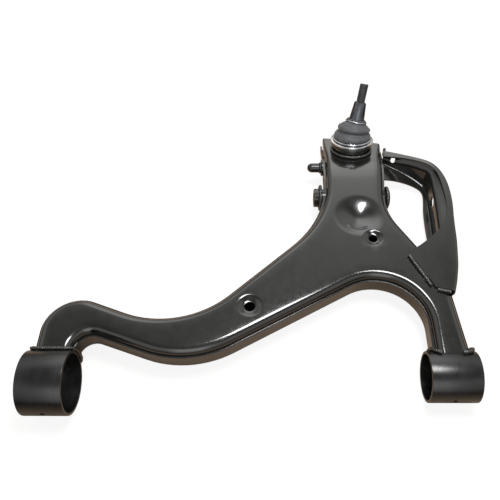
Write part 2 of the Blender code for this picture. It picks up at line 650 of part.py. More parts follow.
# ---------------------------------------------------------------- ball joint: fixed pieces, along the housing's axis
CARRIER_BORE = CARRIER_R - CARRIER_WALL
turned("ball_joint_carrier",
       [(CARRIER_RIM_R - MM, CARRIER_TOP), (CARRIER_RIM_R, CARRIER_TOP - MM),
        (CARRIER_RIM_R, CARRIER_TOP - CARRIER_RIM_T), (CARRIER_R, CARRIER_TOP - CARRIER_RIM_T - 3.0 * MM),
        (CARRIER_R, CARRIER_BOTTOM + MM), (CARRIER_R - MM, CARRIER_BOTTOM), (CARRIER_BORE, CARRIER_BOTTOM),
        (CARRIER_BORE, CARRIER_TOP)], BALL, HOUSING_AXIS, SATIN, 36)
HOUSING_R = CARRIER_BORE - GAP
SEAT_R = BALL_R + GAP + SEAT_WALL
SOCKET_R = SEAT_R + GAP
FLANGE_BASE = CARRIER_TOP + GAP
FLANGE_UP = FLANGE_BASE + HOUSING_FLANGE_T


def dome_arc(radius, top, steps=5):
    """Profile of a sphere round the ball's centre, from its top edge down to the equator."""
    limit = math.asin(top / radius)
    return [(radius * math.cos(limit * (1 - k / steps)), radius * math.sin(limit * (1 - k / steps)))
            for k in range(steps + 1)]


turned("ball_joint_housing",
       [(HOUSING_R - 2.0 * MM, SOCKET_TOP), (HOUSING_R - MM, SOCKET_TOP - MM), (HOUSING_R - MM, FLANGE_UP),
        (HOUSING_FLANGE_R - 0.7 * MM, FLANGE_UP), (HOUSING_FLANGE_R, FLANGE_UP - 0.7 * MM),
        (HOUSING_FLANGE_R, FLANGE_BASE), (HOUSING_R, FLANGE_BASE), (HOUSING_R, HOUSING_BOTTOM),
        (SOCKET_R, HOUSING_BOTTOM)] + list(reversed(dome_arc(SOCKET_R, SOCKET_TOP))),
       BALL, HOUSING_AXIS, PLATED, 36)
SEAT_BOTTOM = HOUSING_BOTTOM + COVER_T + 2 * GAP + 2.0 * MM
turned("ball_seat",
       dome_arc(SEAT_R, SOCKET_TOP) + [(SEAT_R, SEAT_BOTTOM), (BALL_R * 0.45, SEAT_BOTTOM)]
       + [((BALL_R + GAP) * math.cos(a), (BALL_R + GAP) * math.sin(a)) for a in
          (math.radians(d) for d in (-60.0, -45.0, -30.0, -15.0, 0.0, 15.0))]
       + [list(dome_arc(BALL_R + GAP, SOCKET_TOP))[0]],
       BALL, HOUSING_AXIS, NYLON, 24)
turned("ball_joint_cover",
       [(0.0, HOUSING_BOTTOM + COVER_T), (SOCKET_R - GAP, HOUSING_BOTTOM + COVER_T),
        (SOCKET_R - GAP, HOUSING_BOTTOM + 0.2 * MM), (0.0, HOUSING_BOTTOM + 0.2 * MM)],
       BALL, HOUSING_AXIS, PLATED, 24)
RING_TOP = HOUSING_BOTTOM - GAP
turned("snap_ring",
       [(HOUSING_R, RING_TOP), (HOUSING_R, RING_TOP - SNAP_RING_T), (HOUSING_R - 4.0 * MM, RING_TOP - SNAP_RING_T),
        (HOUSING_R - 4.0 * MM, RING_TOP)], BALL, HOUSING_AXIS, STEEL, 24)

# ---------------------------------------------------------------- ball joint: boot, its rings and the stud
BOOT_PROFILE = (                    # distance from the ball's centre, radius of the outer face (mm)
    (7.2, 28.2), (9.6, 28.2), (11.2, 29.8), (13.6, 30.0), (16.4, 28.6), (18.8, 25.4), (20.5, 24.9),
    (22.1, 26.3), (24.6, 26.8), (27.3, 25.2), (30.0, 21.6), (32.4, 17.6), (34.2, 15.4), (36.0, 15.4), (37.5, 16.4))


def boot_axis(distance):
    """Direction of the boot's middle at a distance from the ball, turning from the housing to the stud."""
    low, high = 9.0 * MM, 34.5 * MM
    share = smooth((distance - low) / (high - low))
    return (HOUSING_AXIS * (1.0 - share) + STUD_AXIS * share).normalized()


def dust_boot():
    sides = 28
    bm = bmesh.new()
    rings = []
    for distance, radius in BOOT_PROFILE:
        frame = axis_frame(BALL + boot_axis(distance * MM) * distance * MM, boot_axis(distance * MM))
        rings.append([bm.verts.new(frame @ Vector((radius * MM * math.cos(a), radius * MM * math.sin(a), 0.0)))
                      for a in (math.tau * k / sides for k in range(sides))])
    for low, high in zip(rings, rings[1:]):
        for k in range(sides):
            bm.faces.new((low[k], low[(k + 1) % sides], high[(k + 1) % sides], high[k]))
    obj = add_object("dust_boot", mesh_from(bm, "dust_boot"), RUBBER)
    solidify(obj, BOOT_WALL, -1.0)


dust_boot()
turned("boot_lower_ring", round_bar(LOWER_WIRE_R, 8.8 * MM, BOOT_R + 0.6 * MM + GAP + LOWER_WIRE_R), BALL,
       HOUSING_AXIS, PLATED, 36)
turned("boot_upper_ring", round_bar(UPPER_WIRE_R, 35.1 * MM, BOOT_NECK_R + 0.2 * MM + GAP + UPPER_WIRE_R), BALL,
       STUD_AXIS, PLATED)
NECK_ANGLE = math.asin(NECK_R / BALL_R)
TAPER_END = BOOT_TOP + TAPER_LENGTH
THREAD_BASE = TAPER_END + 1.5 * MM
TIP = THREAD_BASE + THREAD_LENGTH
ball_arc = [(BALL_R * math.sin(a), BALL_R * math.cos(a)) for a in
            (NECK_ANGLE + (math.radians(152.0) - NECK_ANGLE) * k / 10 for k in range(11))]
turned("ball_stud",
       [(0.0, TIP), (THREAD_R - 1.2 * MM, TIP), (THREAD_R, TIP - 1.2 * MM), (THREAD_R, THREAD_BASE),
        (TAPER_TOP_R - MM, TAPER_END + 0.6 * MM), (TAPER_TOP_R, TAPER_END), (TAPER_BASE_R, BOOT_TOP),
        (TAPER_BASE_R, 32.5 * MM), (NECK_R, 24.0 * MM)] + ball_arc + [(0.0, ball_arc[-1][1])],
       BALL, STUD_AXIS, STEEL)


# ---------------------------------------------------------------- weld beads
def leg_section(width):
    """Points round a leg's section with room for a bead, clockwise from the middle of the bottom."""
    stand = WELD_R + GAP
    radius = BOTTOM_BEND + stand
    half_w = width / 2 + stand - radius
    half_h = (ARM_TOP - ARM_BOTTOM) / 2 + stand - radius
    middle = (ARM_TOP + ARM_BOTTOM) / 2
    corners = ((-half_w, -half_h, 180.0), (-half_w, half_h, 90.0), (half_w, half_h, 0.0), (half_w, -half_h, -90.0))
    points = [Vector((0.0, middle - half_h - radius))]
    for x, z, start in corners:
        for step in range(4):
            angle = math.radians(start + 90.0 - 30.0 * step)
            points.append(Vector((x + radius * math.cos(angle), middle + z + radius * math.sin(angle))))
    fine = []
    for first, second in zip(points, points[1:] + points[:1]):
        parts = max(1, round((second - first).length / (5.0 * MM)))
        fine.extend(first.lerp(second, k / parts) for k in range(parts))
    return fine


def sleeve_bead(name, x, y, radius, width, keep):
    """Bead round a leg where it meets its sleeve, on the stretch of the section that keep() accepts."""
    reach = radius + WELD_R + GAP
    section = leg_section(width)
    chosen = [p for p in section if keep(p.x)]
    bead(name, [(x + p.x, y + math.sqrt(reach ** 2 - (p.y - radius) ** 2), p.y) for p in chosen],
         len(chosen) == len(section))


front_outer_x = wall_x(FRONT_SETBACK + 22.0 * MM, 1)
front_inner_x = FRONT_LEG_X - FRONT_LEG_W / 2
front_middle = (front_inner_x + front_outer_x) / 2
front_width = front_outer_x - front_inner_x
sleeve_bead("weld_rear_sleeve", REAR_X, REAR_SETBACK, REAR_R, REAR_LEG_W, lambda x: True)
sleeve_bead("weld_front_sleeve_inner", front_middle, FRONT_SETBACK, FRONT_R, front_width, lambda x: x < -15.0 * MM)
sleeve_bead("weld_front_sleeve_outer", front_middle, FRONT_SETBACK, FRONT_R, front_width, lambda x: x > 10.0 * MM)

seam_start = Vector((222.5, 188.0, 0.0)) * MM
seam_end = Vector((250.5, 131.0, 0.0)) * MM
seam_out = Vector((seam_end.y - seam_start.y, seam_start.x - seam_end.x, 0.0)).normalized()
seam_lift = Vector((0.0, 0.0, ARM_TOP + WELD_R + GAP)) + seam_out * (WELD_R + 1.2 * MM)
bead("weld_gusset_seam", [seam_start.lerp(seam_end, 0.05 + 0.88 * k / 14) + seam_lift for k in range(15)])
end_start = Vector((253.0 * MM, 130.3 * MM - WELD_R - 3 * GAP, ARM_TOP + WELD_R + GAP))
bead("weld_gusset_end", [end_start + Vector((2.2, -0.53, 0.0)) * MM * k for k in range(9)])
outer_weld_y = 410.0 * MM + WELD_R + 2 * GAP
outer_weld_x = wall_x(outer_weld_y + WELD_R, 1) + WELD_R + GAP
bead("weld_bracket_outer", [(outer_weld_x, outer_weld_y, MM * (25.0 + 3.0 * k)) for k in range(6)])


def ring_points(centre, axis, radius, count):
    frame = axis_frame(centre, axis)
    return [frame @ Vector((radius * math.cos(a), radius * math.sin(a), 0.0))
            for a in (math.tau * k / count for k in range(count))]


arm_plane = Vector((BALL_X, BALL_Y, ARM_TOP - droop(BALL_Y)))
plane_height = (arm_plane - BALL).dot(HOUSING_AXIS)
bead("weld_carrier", ring_points(BALL + HOUSING_AXIS * (plane_height + WELD_R + 2 * GAP), HOUSING_AXIS,
                                 CARRIER_R + WELD_R + GAP, 36), True)
bead("weld_nut", ring_points(Vector((NUT_FACE - WELD_R - GAP, BOLT_Y, BOLT_Z)), (1.0, 0.0, 0.0),
                             NUT_ACROSS / 2 + WELD_R + GAP, 24), True)
tube_weld_x = wall_reach(BOLT_Y, TUBE_R + 2 * WELD_R, 1) + WELD_R + GAP
bead("weld_tube", ring_points(Vector((tube_weld_x, BOLT_Y, BOLT_Z)), (1.0, 0.0, 0.0), TUBE_R + WELD_R + GAP, 24),
     True)

# ---------------------------------------------------------------- set the arm down: origin under the middle of its box
bpy.context.view_layer.update()
graph = bpy.context.evaluated_depsgraph_get()
low = Vector((math.inf, math.inf, math.inf))
high = -low
for obj in PARTS.objects:
    if obj.type != "MESH":
        continue
    shape = obj.evaluated_get(graph)
    for vertex in shape.data.vertices:
        place = obj.matrix_world @ vertex.co
        low = Vector(map(min, low, place))
        high = Vector(map(max, high, place))
ROOT.location = Vector((-(low.x + high.x) / 2, -(low.y + high.y) / 2, -low.z))
bpy.context.view_layer.update()
print("arm frame moved by", [round(value / MM, 3) for value in ROOT.location])
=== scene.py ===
"""Lower suspension control arm, in metres, laid on a pale floor as it was packed."""
import math

import bmesh
import bpy
from mathutils import Matrix, Vector, geometry


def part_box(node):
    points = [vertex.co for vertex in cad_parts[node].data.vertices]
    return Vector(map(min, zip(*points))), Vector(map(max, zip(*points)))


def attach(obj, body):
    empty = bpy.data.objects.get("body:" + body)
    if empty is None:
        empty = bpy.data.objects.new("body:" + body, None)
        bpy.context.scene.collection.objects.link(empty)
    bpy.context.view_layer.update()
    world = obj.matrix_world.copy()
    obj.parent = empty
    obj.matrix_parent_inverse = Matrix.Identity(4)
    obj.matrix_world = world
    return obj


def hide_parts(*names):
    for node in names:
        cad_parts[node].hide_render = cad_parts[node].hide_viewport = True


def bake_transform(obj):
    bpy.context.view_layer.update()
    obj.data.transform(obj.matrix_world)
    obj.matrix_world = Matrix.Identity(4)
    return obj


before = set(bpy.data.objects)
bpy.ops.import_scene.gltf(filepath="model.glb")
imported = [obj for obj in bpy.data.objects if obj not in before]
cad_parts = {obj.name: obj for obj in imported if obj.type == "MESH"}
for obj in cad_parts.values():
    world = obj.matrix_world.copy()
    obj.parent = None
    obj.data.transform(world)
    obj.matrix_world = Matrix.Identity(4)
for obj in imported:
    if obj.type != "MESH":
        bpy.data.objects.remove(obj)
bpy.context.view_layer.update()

# ---------------------------------------------------------------- pressed shells
# Two pans pressed from 3 mm steel sheet, the upper one set inside the walls of the lower one and welded to
# it. The pair is dipped in black cathodic e-coat, a thin even paint film that is glossy and shows the
# sheet's waviness.
MM = 0.001
GAP = 0.3 * MM
SHEET = 3.0 * MM
SLEEVE_SPREAD = 516.0 * MM
REAR_X = -SLEEVE_SPREAD / 2
FRONT_X = SLEEVE_SPREAD / 2
REAR_R = 40.8 * MM
REAR_LENGTH = 57.0 * MM
REAR_SETBACK = -1.0 * MM
FRONT_R = 33.0 * MM
FRONT_LENGTH = 64.5 * MM
FRONT_SETBACK = 11.7 * MM
ARM_TOP = 58.0 * MM
ARM_BOTTOM = 18.0 * MM
TOP_BEND = 10.0 * MM
BOTTOM_BEND = 8.0 * MM
REAR_LEG_W = 52.0 * MM
FRONT_LEG_W = 52.5 * MM
FRONT_LEG_X = FRONT_X + 4.2 * MM
NECK_X = 152.3 * MM
NECK_W = 91.5 * MM
NECK_END_X = 162.5 * MM
NECK_END_W = 107.0 * MM
ARM_REACH = 443.5 * MM
END_SKEW = math.radians(13.5)
END_DEPTH = 27.0 * MM
DROOP_START = 335.0 * MM
DROOP_ANGLE = math.radians(20.0)
DROOP_RADIUS = 146.0 * MM
DISHES = (                          # x, y, hole radius, dish radius, depth of the pressed dish
    (-5.0 * MM, 103.0 * MM, 7.5 * MM, 18.0 * MM, 4.0 * MM),
    (173.1 * MM, 216.5 * MM, 6.5 * MM, 16.0 * MM, 3.5 * MM),
)
BOWL = Vector((155.5 * MM, 258.0 * MM))
BOWL_R = 40.0 * MM
BOWL_DEPTH = 7.5 * MM

rear_low, rear_high = (Vector(corner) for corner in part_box("rear_bush_sleeve"))
rear_middle = (rear_low + rear_high) / 2
LAYOUT = Vector((rear_middle.x - REAR_X, rear_middle.y - REAR_SETBACK, 0.0))


def linear(code):
    """Linear colour of an sRGB hex value."""
    parts = [int(code[k:k + 2], 16) / 255 for k in (1, 3, 5)]
    return (*(c / 12.92 if c <= 0.04045 else ((c + 0.055) / 1.055) ** 2.4 for c in parts), 1.0)


def add_node(tree, kind, inputs=(), stops=(), **settings):
    """Adds a node, sets its properties, fills or links its inputs, and sets the stops of a colour ramp."""
    made = tree.nodes.new(kind)
    for key, value in settings.items():
        setattr(made, key, value)
    for key, value in dict(inputs).items():
        if isinstance(value, bpy.types.NodeSocket):
            tree.links.new(value, made.inputs[key])
        else:
            made.inputs[key].default_value = value
    for k, (place, code) in enumerate(stops):
        ramp = made.color_ramp.elements
        stop = ramp[k] if k < len(ramp) else ramp.new(place)
        stop.position = place
        stop.color = linear(code)
    return made


def new_finish(name):
    """An empty material's node tree and the object coordinates in it."""
    material = bpy.data.materials.new(name)
    material.use_nodes = True
    material.node_tree.nodes.clear()
    tree = material.node_tree
    return material, tree, add_node(tree, "ShaderNodeTexCoord").outputs["Object"]


def e_coat(name, dark, light, smoothest, roughest, peel):
    """Black cathodic e-coat: glossy film over pressed sheet, with fine orange peel and a few specks."""
    material, tree, place = new_finish(name)
    cloud = add_node(tree, "ShaderNodeTexNoise", {"Vector": place, "Scale": 28.0, "Detail": 4.0})
    colour = add_node(tree, "ShaderNodeValToRGB", {"Fac": cloud.outputs["Fac"]},
                      stops=((0.35, dark), (0.7, light)))
    specks = add_node(tree, "ShaderNodeTexVoronoi", {"Vector": place, "Scale": 60.0, "Randomness": 1.0})
    pick = add_node(tree, "ShaderNodeMath", {0: specks.outputs["Color"], 1: 0.96}, operation="GREATER_THAN")
    near = add_node(tree, "ShaderNodeMath", {0: specks.outputs["Distance"], 1: 0.05}, operation="LESS_THAN")
    speck = add_node(tree, "ShaderNodeMath", {0: pick.outputs[0], 1: near.outputs[0]}, operation="MULTIPLY")
    dusted = add_node(tree, "ShaderNodeMix", {0: speck.outputs[0], 6: colour.outputs["Color"],
                                              7: linear("#5a5650")},
                      data_type="RGBA")
    film = add_node(tree, "ShaderNodeTexNoise", {"Vector": place, "Scale": 120.0, "Detail": 5.0,
                                                 "Roughness": 0.6})
    gloss = add_node(tree, "ShaderNodeMapRange", {"Value": film.outputs["Fac"], "From Min": 0.3,
                                                  "From Max": 0.7,
                                                  "To Min": smoothest, "To Max": roughest})
    grain = add_node(tree, "ShaderNodeTexNoise", {"Vector": place, "Scale": 300.0, "Detail": 1.0})
    skin = add_node(tree, "ShaderNodeBump", {"Strength": peel, "Distance": 0.02 * MM,
                                             "Height": grain.outputs["Fac"]})
    wave = add_node(tree, "ShaderNodeTexNoise", {"Vector": place, "Scale": 34.0, "Detail": 1.0})
    sheet = add_node(tree, "ShaderNodeBump", {"Strength": 0.3, "Distance": 0.12 * MM,
                                              "Height": wave.outputs["Fac"],
                                              "Normal": skin.outputs["Normal"]})
    shader = add_node(tree, "ShaderNodeBsdfPrincipled",
                      {"Base Color": dusted.outputs[2], "Roughness": gloss.outputs["Result"], "IOR": 1.55,
                       "Coat Weight": 0.35, "Coat Roughness": 0.04, "Normal": sheet.outputs["Normal"]})
    add_node(tree, "ShaderNodeOutputMaterial", {"Surface": shader.outputs["BSDF"]})
    return material


E_COAT = e_coat("black_e_coat_on_pressed_sheet", "#141413", "#1b1b1a", 0.13, 0.19, 0.10)

LEG_END_Y = -4.0 * MM
LEG_END_R = 16.0 * MM
CORNERS = (                         # x, y and fillet radius, clockwise seen from above
    (REAR_X - REAR_LEG_W / 2, LEG_END_Y, LEG_END_R),
    (REAR_X - REAR_LEG_W / 2, 137.0 * MM, 48.0 * MM),
    (-96.0 * MM, 67.0 * MM, 137.0 * MM),
    (NECK_X - NECK_W / 2, 257.0 * MM, 168.0 * MM),
    (NECK_END_X - NECK_END_W / 2, ARM_REACH + 34.0 * MM, LEG_END_R),
    (NECK_END_X + NECK_END_W / 2, ARM_REACH + 34.0 * MM, LEG_END_R),
    (NECK_X + NECK_W / 2, 274.0 * MM, 95.0 * MM),
    (FRONT_LEG_X + 10.5 * MM, 151.0 * MM, 80.0 * MM),
    (FRONT_LEG_X + FRONT_LEG_W / 2, LEG_END_Y, LEG_END_R),
    (FRONT_LEG_X - FRONT_LEG_W / 2, LEG_END_Y, LEG_END_R),
    (FRONT_LEG_X - FRONT_LEG_W / 2 + 1.0 * MM, 197.0 * MM, 68.0 * MM),
    (-81.0 * MM, 16.6 * MM, 142.0 * MM),
    (REAR_X + REAR_LEG_W / 2, 69.3 * MM, 20.0 * MM),
    (REAR_X + REAR_LEG_W / 2, LEG_END_Y, LEG_END_R),
)
EDGE_STEP = 7.0 * MM


def fillet_arcs(inset):
    """Centre, radius, start angle and sweep of each corner of the outline moved inwards by the inset."""
    points = [Vector(corner[:2]) for corner in CORNERS]
    arcs = []
    for i, here in enumerate(points):
        into = (here - points[i - 1]).normalized()
        out = (points[(i + 1) % len(points)] - here).normalized()
        turn = into.x * out.y - into.y * out.x
        half = math.acos(max(-1.0, min(1.0, into.dot(out)))) / 2
        across = (Vector((into.y, -into.x)) + Vector((out.y, -out.x))).normalized()
        corner = here + across * inset / math.cos(half)
        side = 1.0 if turn > 0 else -1.0
        radius = CORNERS[i][2] + side * inset
        centre = corner - into * radius * math.tan(half) + Vector((-into.y, into.x)) * side * radius
        arcs.append((centre, radius, math.atan2(-side * into.x, side * into.y), side * 2 * half))
    return arcs


def arc_point(arc, share):
    centre, radius, start, sweep = arc
    angle = start + sweep * share
    return centre + radius * Vector((math.cos(angle), math.sin(angle)))


def outline(inset):
    """Closed loop of plan points of the arm; every inset gives the same number of points."""
    loop = []
    base = fillet_arcs(0.0)
    moved = fillet_arcs(inset)
    for i, arc in enumerate(moved):
        count = max(4, math.ceil(abs(arc[3]) / math.radians(4.0)))
        loop += [arc_point(arc, k / count) for k in range(count + 1)]
        following = (i + 1) % len(moved)
        extra = int((arc_point(base[following], 0.0) - arc_point(base[i], 1.0)).length / EDGE_STEP)
        last = arc_point(moved[following], 0.0)
        loop += [arc_point(arc, 1.0).lerp(last, k / (extra + 1)) for k in range(1, extra + 1)]
    return loop


def droop(y):
    """Fall of the arm's outer end below its flat top."""
    if y <= DROOP_START:
        return 0.0
    bend_end = DROOP_START + DROOP_RADIUS * math.sin(DROOP_ANGLE)
    if y < bend_end:
        return DROOP_RADIUS - math.sqrt(DROOP_RADIUS ** 2 - (y - DROOP_START) ** 2)
    return DROOP_RADIUS * (1.0 - math.cos(DROOP_ANGLE)) + (y - bend_end) * math.tan(DROOP_ANGLE)


def smooth(value):
    value = max(0.0, min(1.0, value))
    return value * value * (3.0 - 2.0 * value)


def top_height(x, y):
    """Upper skin: flat, drooping at its outer end, with a bowl, its crescent step and two dishes."""
    height = ARM_TOP - droop(y)
    away = Vector((x, y)) - BOWL
    height -= BOWL_DEPTH * smooth(1.0 - away.length / BOWL_R)
    if away.length > 0.0:
        facing = (-away.y - 0.12 * away.x) / away.length
        crescent = math.exp(-((away.length - 24.0 * MM) / (1.8 * MM)) ** 2)
        height += 0.9 * MM * crescent * smooth((facing - 0.74) / 0.16)
    for dish_x, dish_y, hole_r, dish_r, depth in DISHES:
        distance = math.hypot(x - dish_x, y - dish_y)
        height -= depth * smooth((dish_r - distance) / (dish_r - hole_r))
    return height


def bottom_height(x, y):
    depth = ARM_TOP - ARM_BOTTOM
    thinning = smooth((y - DROOP_START) / (ARM_REACH - DROOP_START))
    return ARM_TOP - droop(y) - depth + (depth - END_DEPTH) * thinning


def inside(point, loop):
    """Whether a plan point lies inside the closed loop."""
    found = False
    for a, b in zip(loop, loop[1:] + loop[:1]):
        if (a.y > point.y) != (b.y > point.y):
            if point.x < a.x + (b.x - a.x) * (point.y - a.y) / (b.y - a.y):
                found = not found
    return found


def pan(inset, bend, wall_end, height, side, features, grid):
    """Mesh data of a pressed pan: a skin, a bend all round it and a wall. side is +1 for the upper pan.

    The bend grows sharper towards the arm's open end.
    """
    bm = bmesh.new()
    bend_steps = 7
    rings = []
    outer_loop = outline(inset)
    inner_loop = outline(inset + bend)
    for k in range(bend_steps + 1):
        angle = math.pi / 2 * k / bend_steps
        ring = []
        for edge, within in zip(outer_loop, inner_loop):
            tight = 1.0 - 0.62 * smooth((edge.y - 385.0 * MM) / (55.0 * MM))
            spot = edge.lerp(within, tight * (1.0 - math.sin(angle)))
            drop = tight * bend * (1.0 - math.cos(angle))
            ring.append(bm.verts.new((spot.x, spot.y, height(spot.x, spot.y) - side * drop)))
        rings.append(ring)
    for share in (0.33, 0.67, 1.0):
        rings.append([bm.verts.new((v.co.x, v.co.y, v.co.z - side * share * wall_end(v.co.y)))
                      for v in rings[bend_steps]])
    count = len(rings[0])
    for outer, inner in zip(rings[1:], rings):
        for k in range(count):
            following = (k + 1) % count
            bm.faces.new((inner[k], inner[following], outer[following], outer[k]))
    skin = [Vector((v.co.x, v.co.y)) for v in rings[0]]
    points = list(skin)
    edges = [(k, (k + 1) % count) for k in range(count)]
    holes = [(Vector((x, y)), hole_r) for x, y, hole_r, reach in features if hole_r > 0.0]
    for centre_x, centre_y, hole_r, reach in features:
        rows = 9 if hole_r > 0.0 else 38
        for row in range(0 if hole_r > 0.0 else 1, rows + 1):
            radius = hole_r + (reach - hole_r) * row / rows
            steps = 36 if hole_r > 0.0 else 16 + 5 * row
            first = len(points)
            points += [Vector((centre_x + radius * math.cos(math.tau * k / steps),
                               centre_y + radius * math.sin(math.tau * k / steps))) for k in range(steps)]
            if row == 0:
                edges += [(first + k, first + (k + 1) % steps) for k in range(steps)]
        if hole_r == 0.0:
            points.append(Vector((centre_x, centre_y)))
    low_x, high_x = min(p.x for p in skin), max(p.x for p in skin)
    low_y, high_y = min(p.y for p in skin), max(p.y for p in skin)
    shrunk = outline(inset + bend + 0.45 * grid)
    for row in range(int((high_y - low_y) / grid) + 1):
        for column in range(int((high_x - low_x) / grid) + 1):
            place = Vector((low_x + grid * (column + 0.5 * (row % 2)), low_y + grid * row))
            clear = all((place - Vector((x, y))).length > reach + 0.4 * grid for x, y, hole_r,
                        reach in features)
            if clear and inside(place, shrunk):
                points.append(place)
    made = geometry.delaunay_2d_cdt(points, edges, [], 2, 1e-7)
    corners = []
    for place, sources in zip(made[0], made[3]):
        on_ring = next((s for s in sources if s < count), None)
        corners.append(rings[0][on_ring] if on_ring is not None
                       else bm.verts.new((place.x, place.y, height(place.x, place.y))))
    for face in made[2]:
        centre = sum((made[0][k] for k in face), Vector((0.0, 0.0))) / len(face)
        if not any((centre - place).length < radius * 0.999 for place, radius in holes):
            bm.faces.new([corners[k] for k in face])
    bmesh.ops.delete(bm, geom=[v for v in bm.verts if not v.link_faces], context="VERTS")
    bmesh.ops.recalc_face_normals(bm, faces=bm.faces[:])
    if max(bm.faces, key=lambda f: side * f.calc_center_median().z).normal.z * side < 0.0:
        bmesh.ops.reverse_faces(bm, faces=bm.faces[:])
    return bm


def raw_piece(name, bm):
    """Unfinished object in the layout's frame, still open to modifiers."""
    mesh = bpy.data.meshes.new(name)
    bm.to_mesh(mesh)
    bm.free()
    obj = bpy.data.objects.new(name, mesh)
    bpy.context.scene.collection.objects.link(obj)
    return obj


def axis_frame(origin, axis):
    """Matrix whose local Z runs along the axis."""
    turn = Vector((0.0, 0.0, 1.0)).rotation_difference(Vector(axis).normalized())
    return Matrix.Translation(origin) @ turn.to_matrix().to_4x4()


def rod(name, origin, axis, radius, length, segments=64):
    """Round cutter centred on the origin."""
    bm = bmesh.new()
    bmesh.ops.create_cone(bm, cap_ends=True, segments=segments, radius1=radius, radius2=radius, depth=length)
    bmesh.ops.transform(bm, matrix=axis_frame(origin, axis), verts=bm.verts[:])
    return raw_piece(name, bm)


def finish_piece(obj, material, body, nodes, thickness=0.0, cutters=(), angle=35.0):
    """Gives an object its wall and holes, sets its plain mesh in the row frame, hangs it under its body and
    hides the CAD nodes it stands in for.
    """
    if thickness > 0.0:
        wall = obj.modifiers.new("sheet", "SOLIDIFY")
        wall.thickness = thickness
        wall.offset = -1.0
        wall.use_even_offset = True
    for cutter in cutters:
        hole = obj.modifiers.new(cutter.name, "BOOLEAN")
        hole.operation = "DIFFERENCE"
        hole.object = cutter
        hole.solver = "MANIFOLD"
    graph = bpy.context.evaluated_depsgraph_get()
    mesh = bpy.data.meshes.new_from_object(obj.evaluated_get(graph))
    obj.modifiers.clear()
    obj.data = mesh
    mesh.name = obj.name
    mesh.transform(Matrix.Translation(LAYOUT))
    mesh.materials.clear()
    mesh.materials.append(material)
    mesh.shade_smooth()
    mesh.set_sharp_from_angle(angle=math.radians(angle))
    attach(obj, body)
    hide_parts(*nodes)
    return obj


BALL = Vector((156.0 * MM, 413.3 * MM, 54.3 * MM))
HOUSING_AXIS = Vector((0.0, math.sin(DROOP_ANGLE), math.cos(DROOP_ANGLE)))
OUTBOARD = Vector((0.0, math.cos(DROOP_ANGLE), -math.sin(DROOP_ANGLE)))
CARRIER_R = 29.5 * MM
BOLT = Vector((NECK_X, 311.0 * MM, 33.5 * MM))
TUBE_R = 13.7 * MM

trim = bmesh.new()
bmesh.ops.create_cube(trim, size=1.0)
bmesh.ops.scale(trim, vec=(240.0 * MM, 90.0 * MM, 180.0 * MM), verts=trim.verts[:])
bmesh.ops.translate(trim, vec=(0.0, 45.0 * MM, 0.0), verts=trim.verts[:])
end_turn = Matrix.Rotation(-END_SKEW, 4, "Z") @ Matrix.Rotation(-DROOP_ANGLE, 4, "X")
end_place = Matrix.Translation((NECK_END_X, ARM_REACH, ARM_TOP - droop(ARM_REACH)))
bmesh.ops.transform(trim, matrix=end_place @ end_turn, verts=trim.verts[:])
shell_cutters = [
    rod("rear_clearance", Vector((REAR_X, REAR_SETBACK, REAR_R)), (1, 0, 0), REAR_R + GAP,
        REAR_LENGTH + 20 * MM, 128),
    rod("front_clearance", Vector((FRONT_X, FRONT_SETBACK, FRONT_R)), (1, 0, 0), FRONT_R + GAP,
        FRONT_LENGTH + 20 * MM, 128),
    raw_piece("end_trim", trim),
    rod("carrier_hole", BALL - 20.0 * MM * HOUSING_AXIS, HOUSING_AXIS, CARRIER_R + GAP, 110.0 * MM, 96),
    rod("tube_hole", BOLT, (1, 0, 0), TUBE_R + GAP, 2.0 * NECK_W),
]
UPPER_WALL = ARM_TOP - TOP_BEND - ARM_BOTTOM - 14.0 * MM
LOWER_WALL = ARM_TOP - TOP_BEND - 1.5 * MM - ARM_BOTTOM - BOTTOM_BEND
upper_features = [(x, y, hole, dish) for x, y, hole, dish, depth in DISHES] + [(BOWL.x, BOWL.y, 0.0,
                                                                                BOWL_R + MM)]
upper = raw_piece("upper_shell_skin", pan(
    SHEET + GAP, TOP_BEND, lambda y: UPPER_WALL - 9.0 * MM * smooth((y - DROOP_START) / (80.0 * MM)),
    top_height, 1.0, upper_features, 9.0 * MM))
lower = raw_piece("lower_shell_skin", pan(
    0.0, BOTTOM_BEND, lambda y: LOWER_WALL - (ARM_TOP - ARM_BOTTOM - END_DEPTH)
    * smooth((y - DROOP_START) / (ARM_REACH - DROOP_START)), bottom_height, -1.0, [], 14.0 * MM))
finish_piece(upper, E_COAT, "arm", ["upper_shell"], SHEET, shell_cutters, 50.0)
finish_piece(lower, E_COAT, "arm", ["lower_shell"], SHEET, shell_cutters, 50.0)

# ---------------------------------------------------------------- damper bracket
# One strip of 3 mm sheet pressed into a channel that loops from the neck's outer end down to the front leg,
# with a flat pad for the damper's bolt. It is welded along the gusset's slanting edge and dipped with the
# shells.
BRACKET_SHEET = 3.0 * MM
BRACKET_BEND = 6.0 * MM
SHOULDER_DROP = 9.8 * MM
PAD_DROP = 15.3 * MM
PAD_HOLE = Vector((279.0 * MM, 303.0 * MM, 33.5 * MM))
PAD_HOLE_R = 9.0 * MM
DRAIN_HOLE = Vector((228.0 * MM, 396.0 * MM, 38.0 * MM))
DRAIN_HOLE_R = 4.0 * MM


def wall_x(y, side):
    """X of the neck's outer wall face at y: side is -1 for the left wall, +1 for the right."""
    loop = outline(0.0)
    crossings = []
    for first, second in zip(loop, loop[1:] + loop[:1]):
        if (first.y - y) * (second.y - y) <= 0.0 and first.y != second.y:
            crossings.append(first.x + (second.x - first.x) * (y - first.y) / (second.y - first.y))
    return min(crossings) if side < 0 else max(crossings)


def wall_reach(y, half, side):
    """Outermost X of the neck's wall over y - half to y + half."""
    steps = [wall_x(y + half * k / 4, side) for k in range(-4, 5)]
    return min(steps) if side < 0 else max(steps)


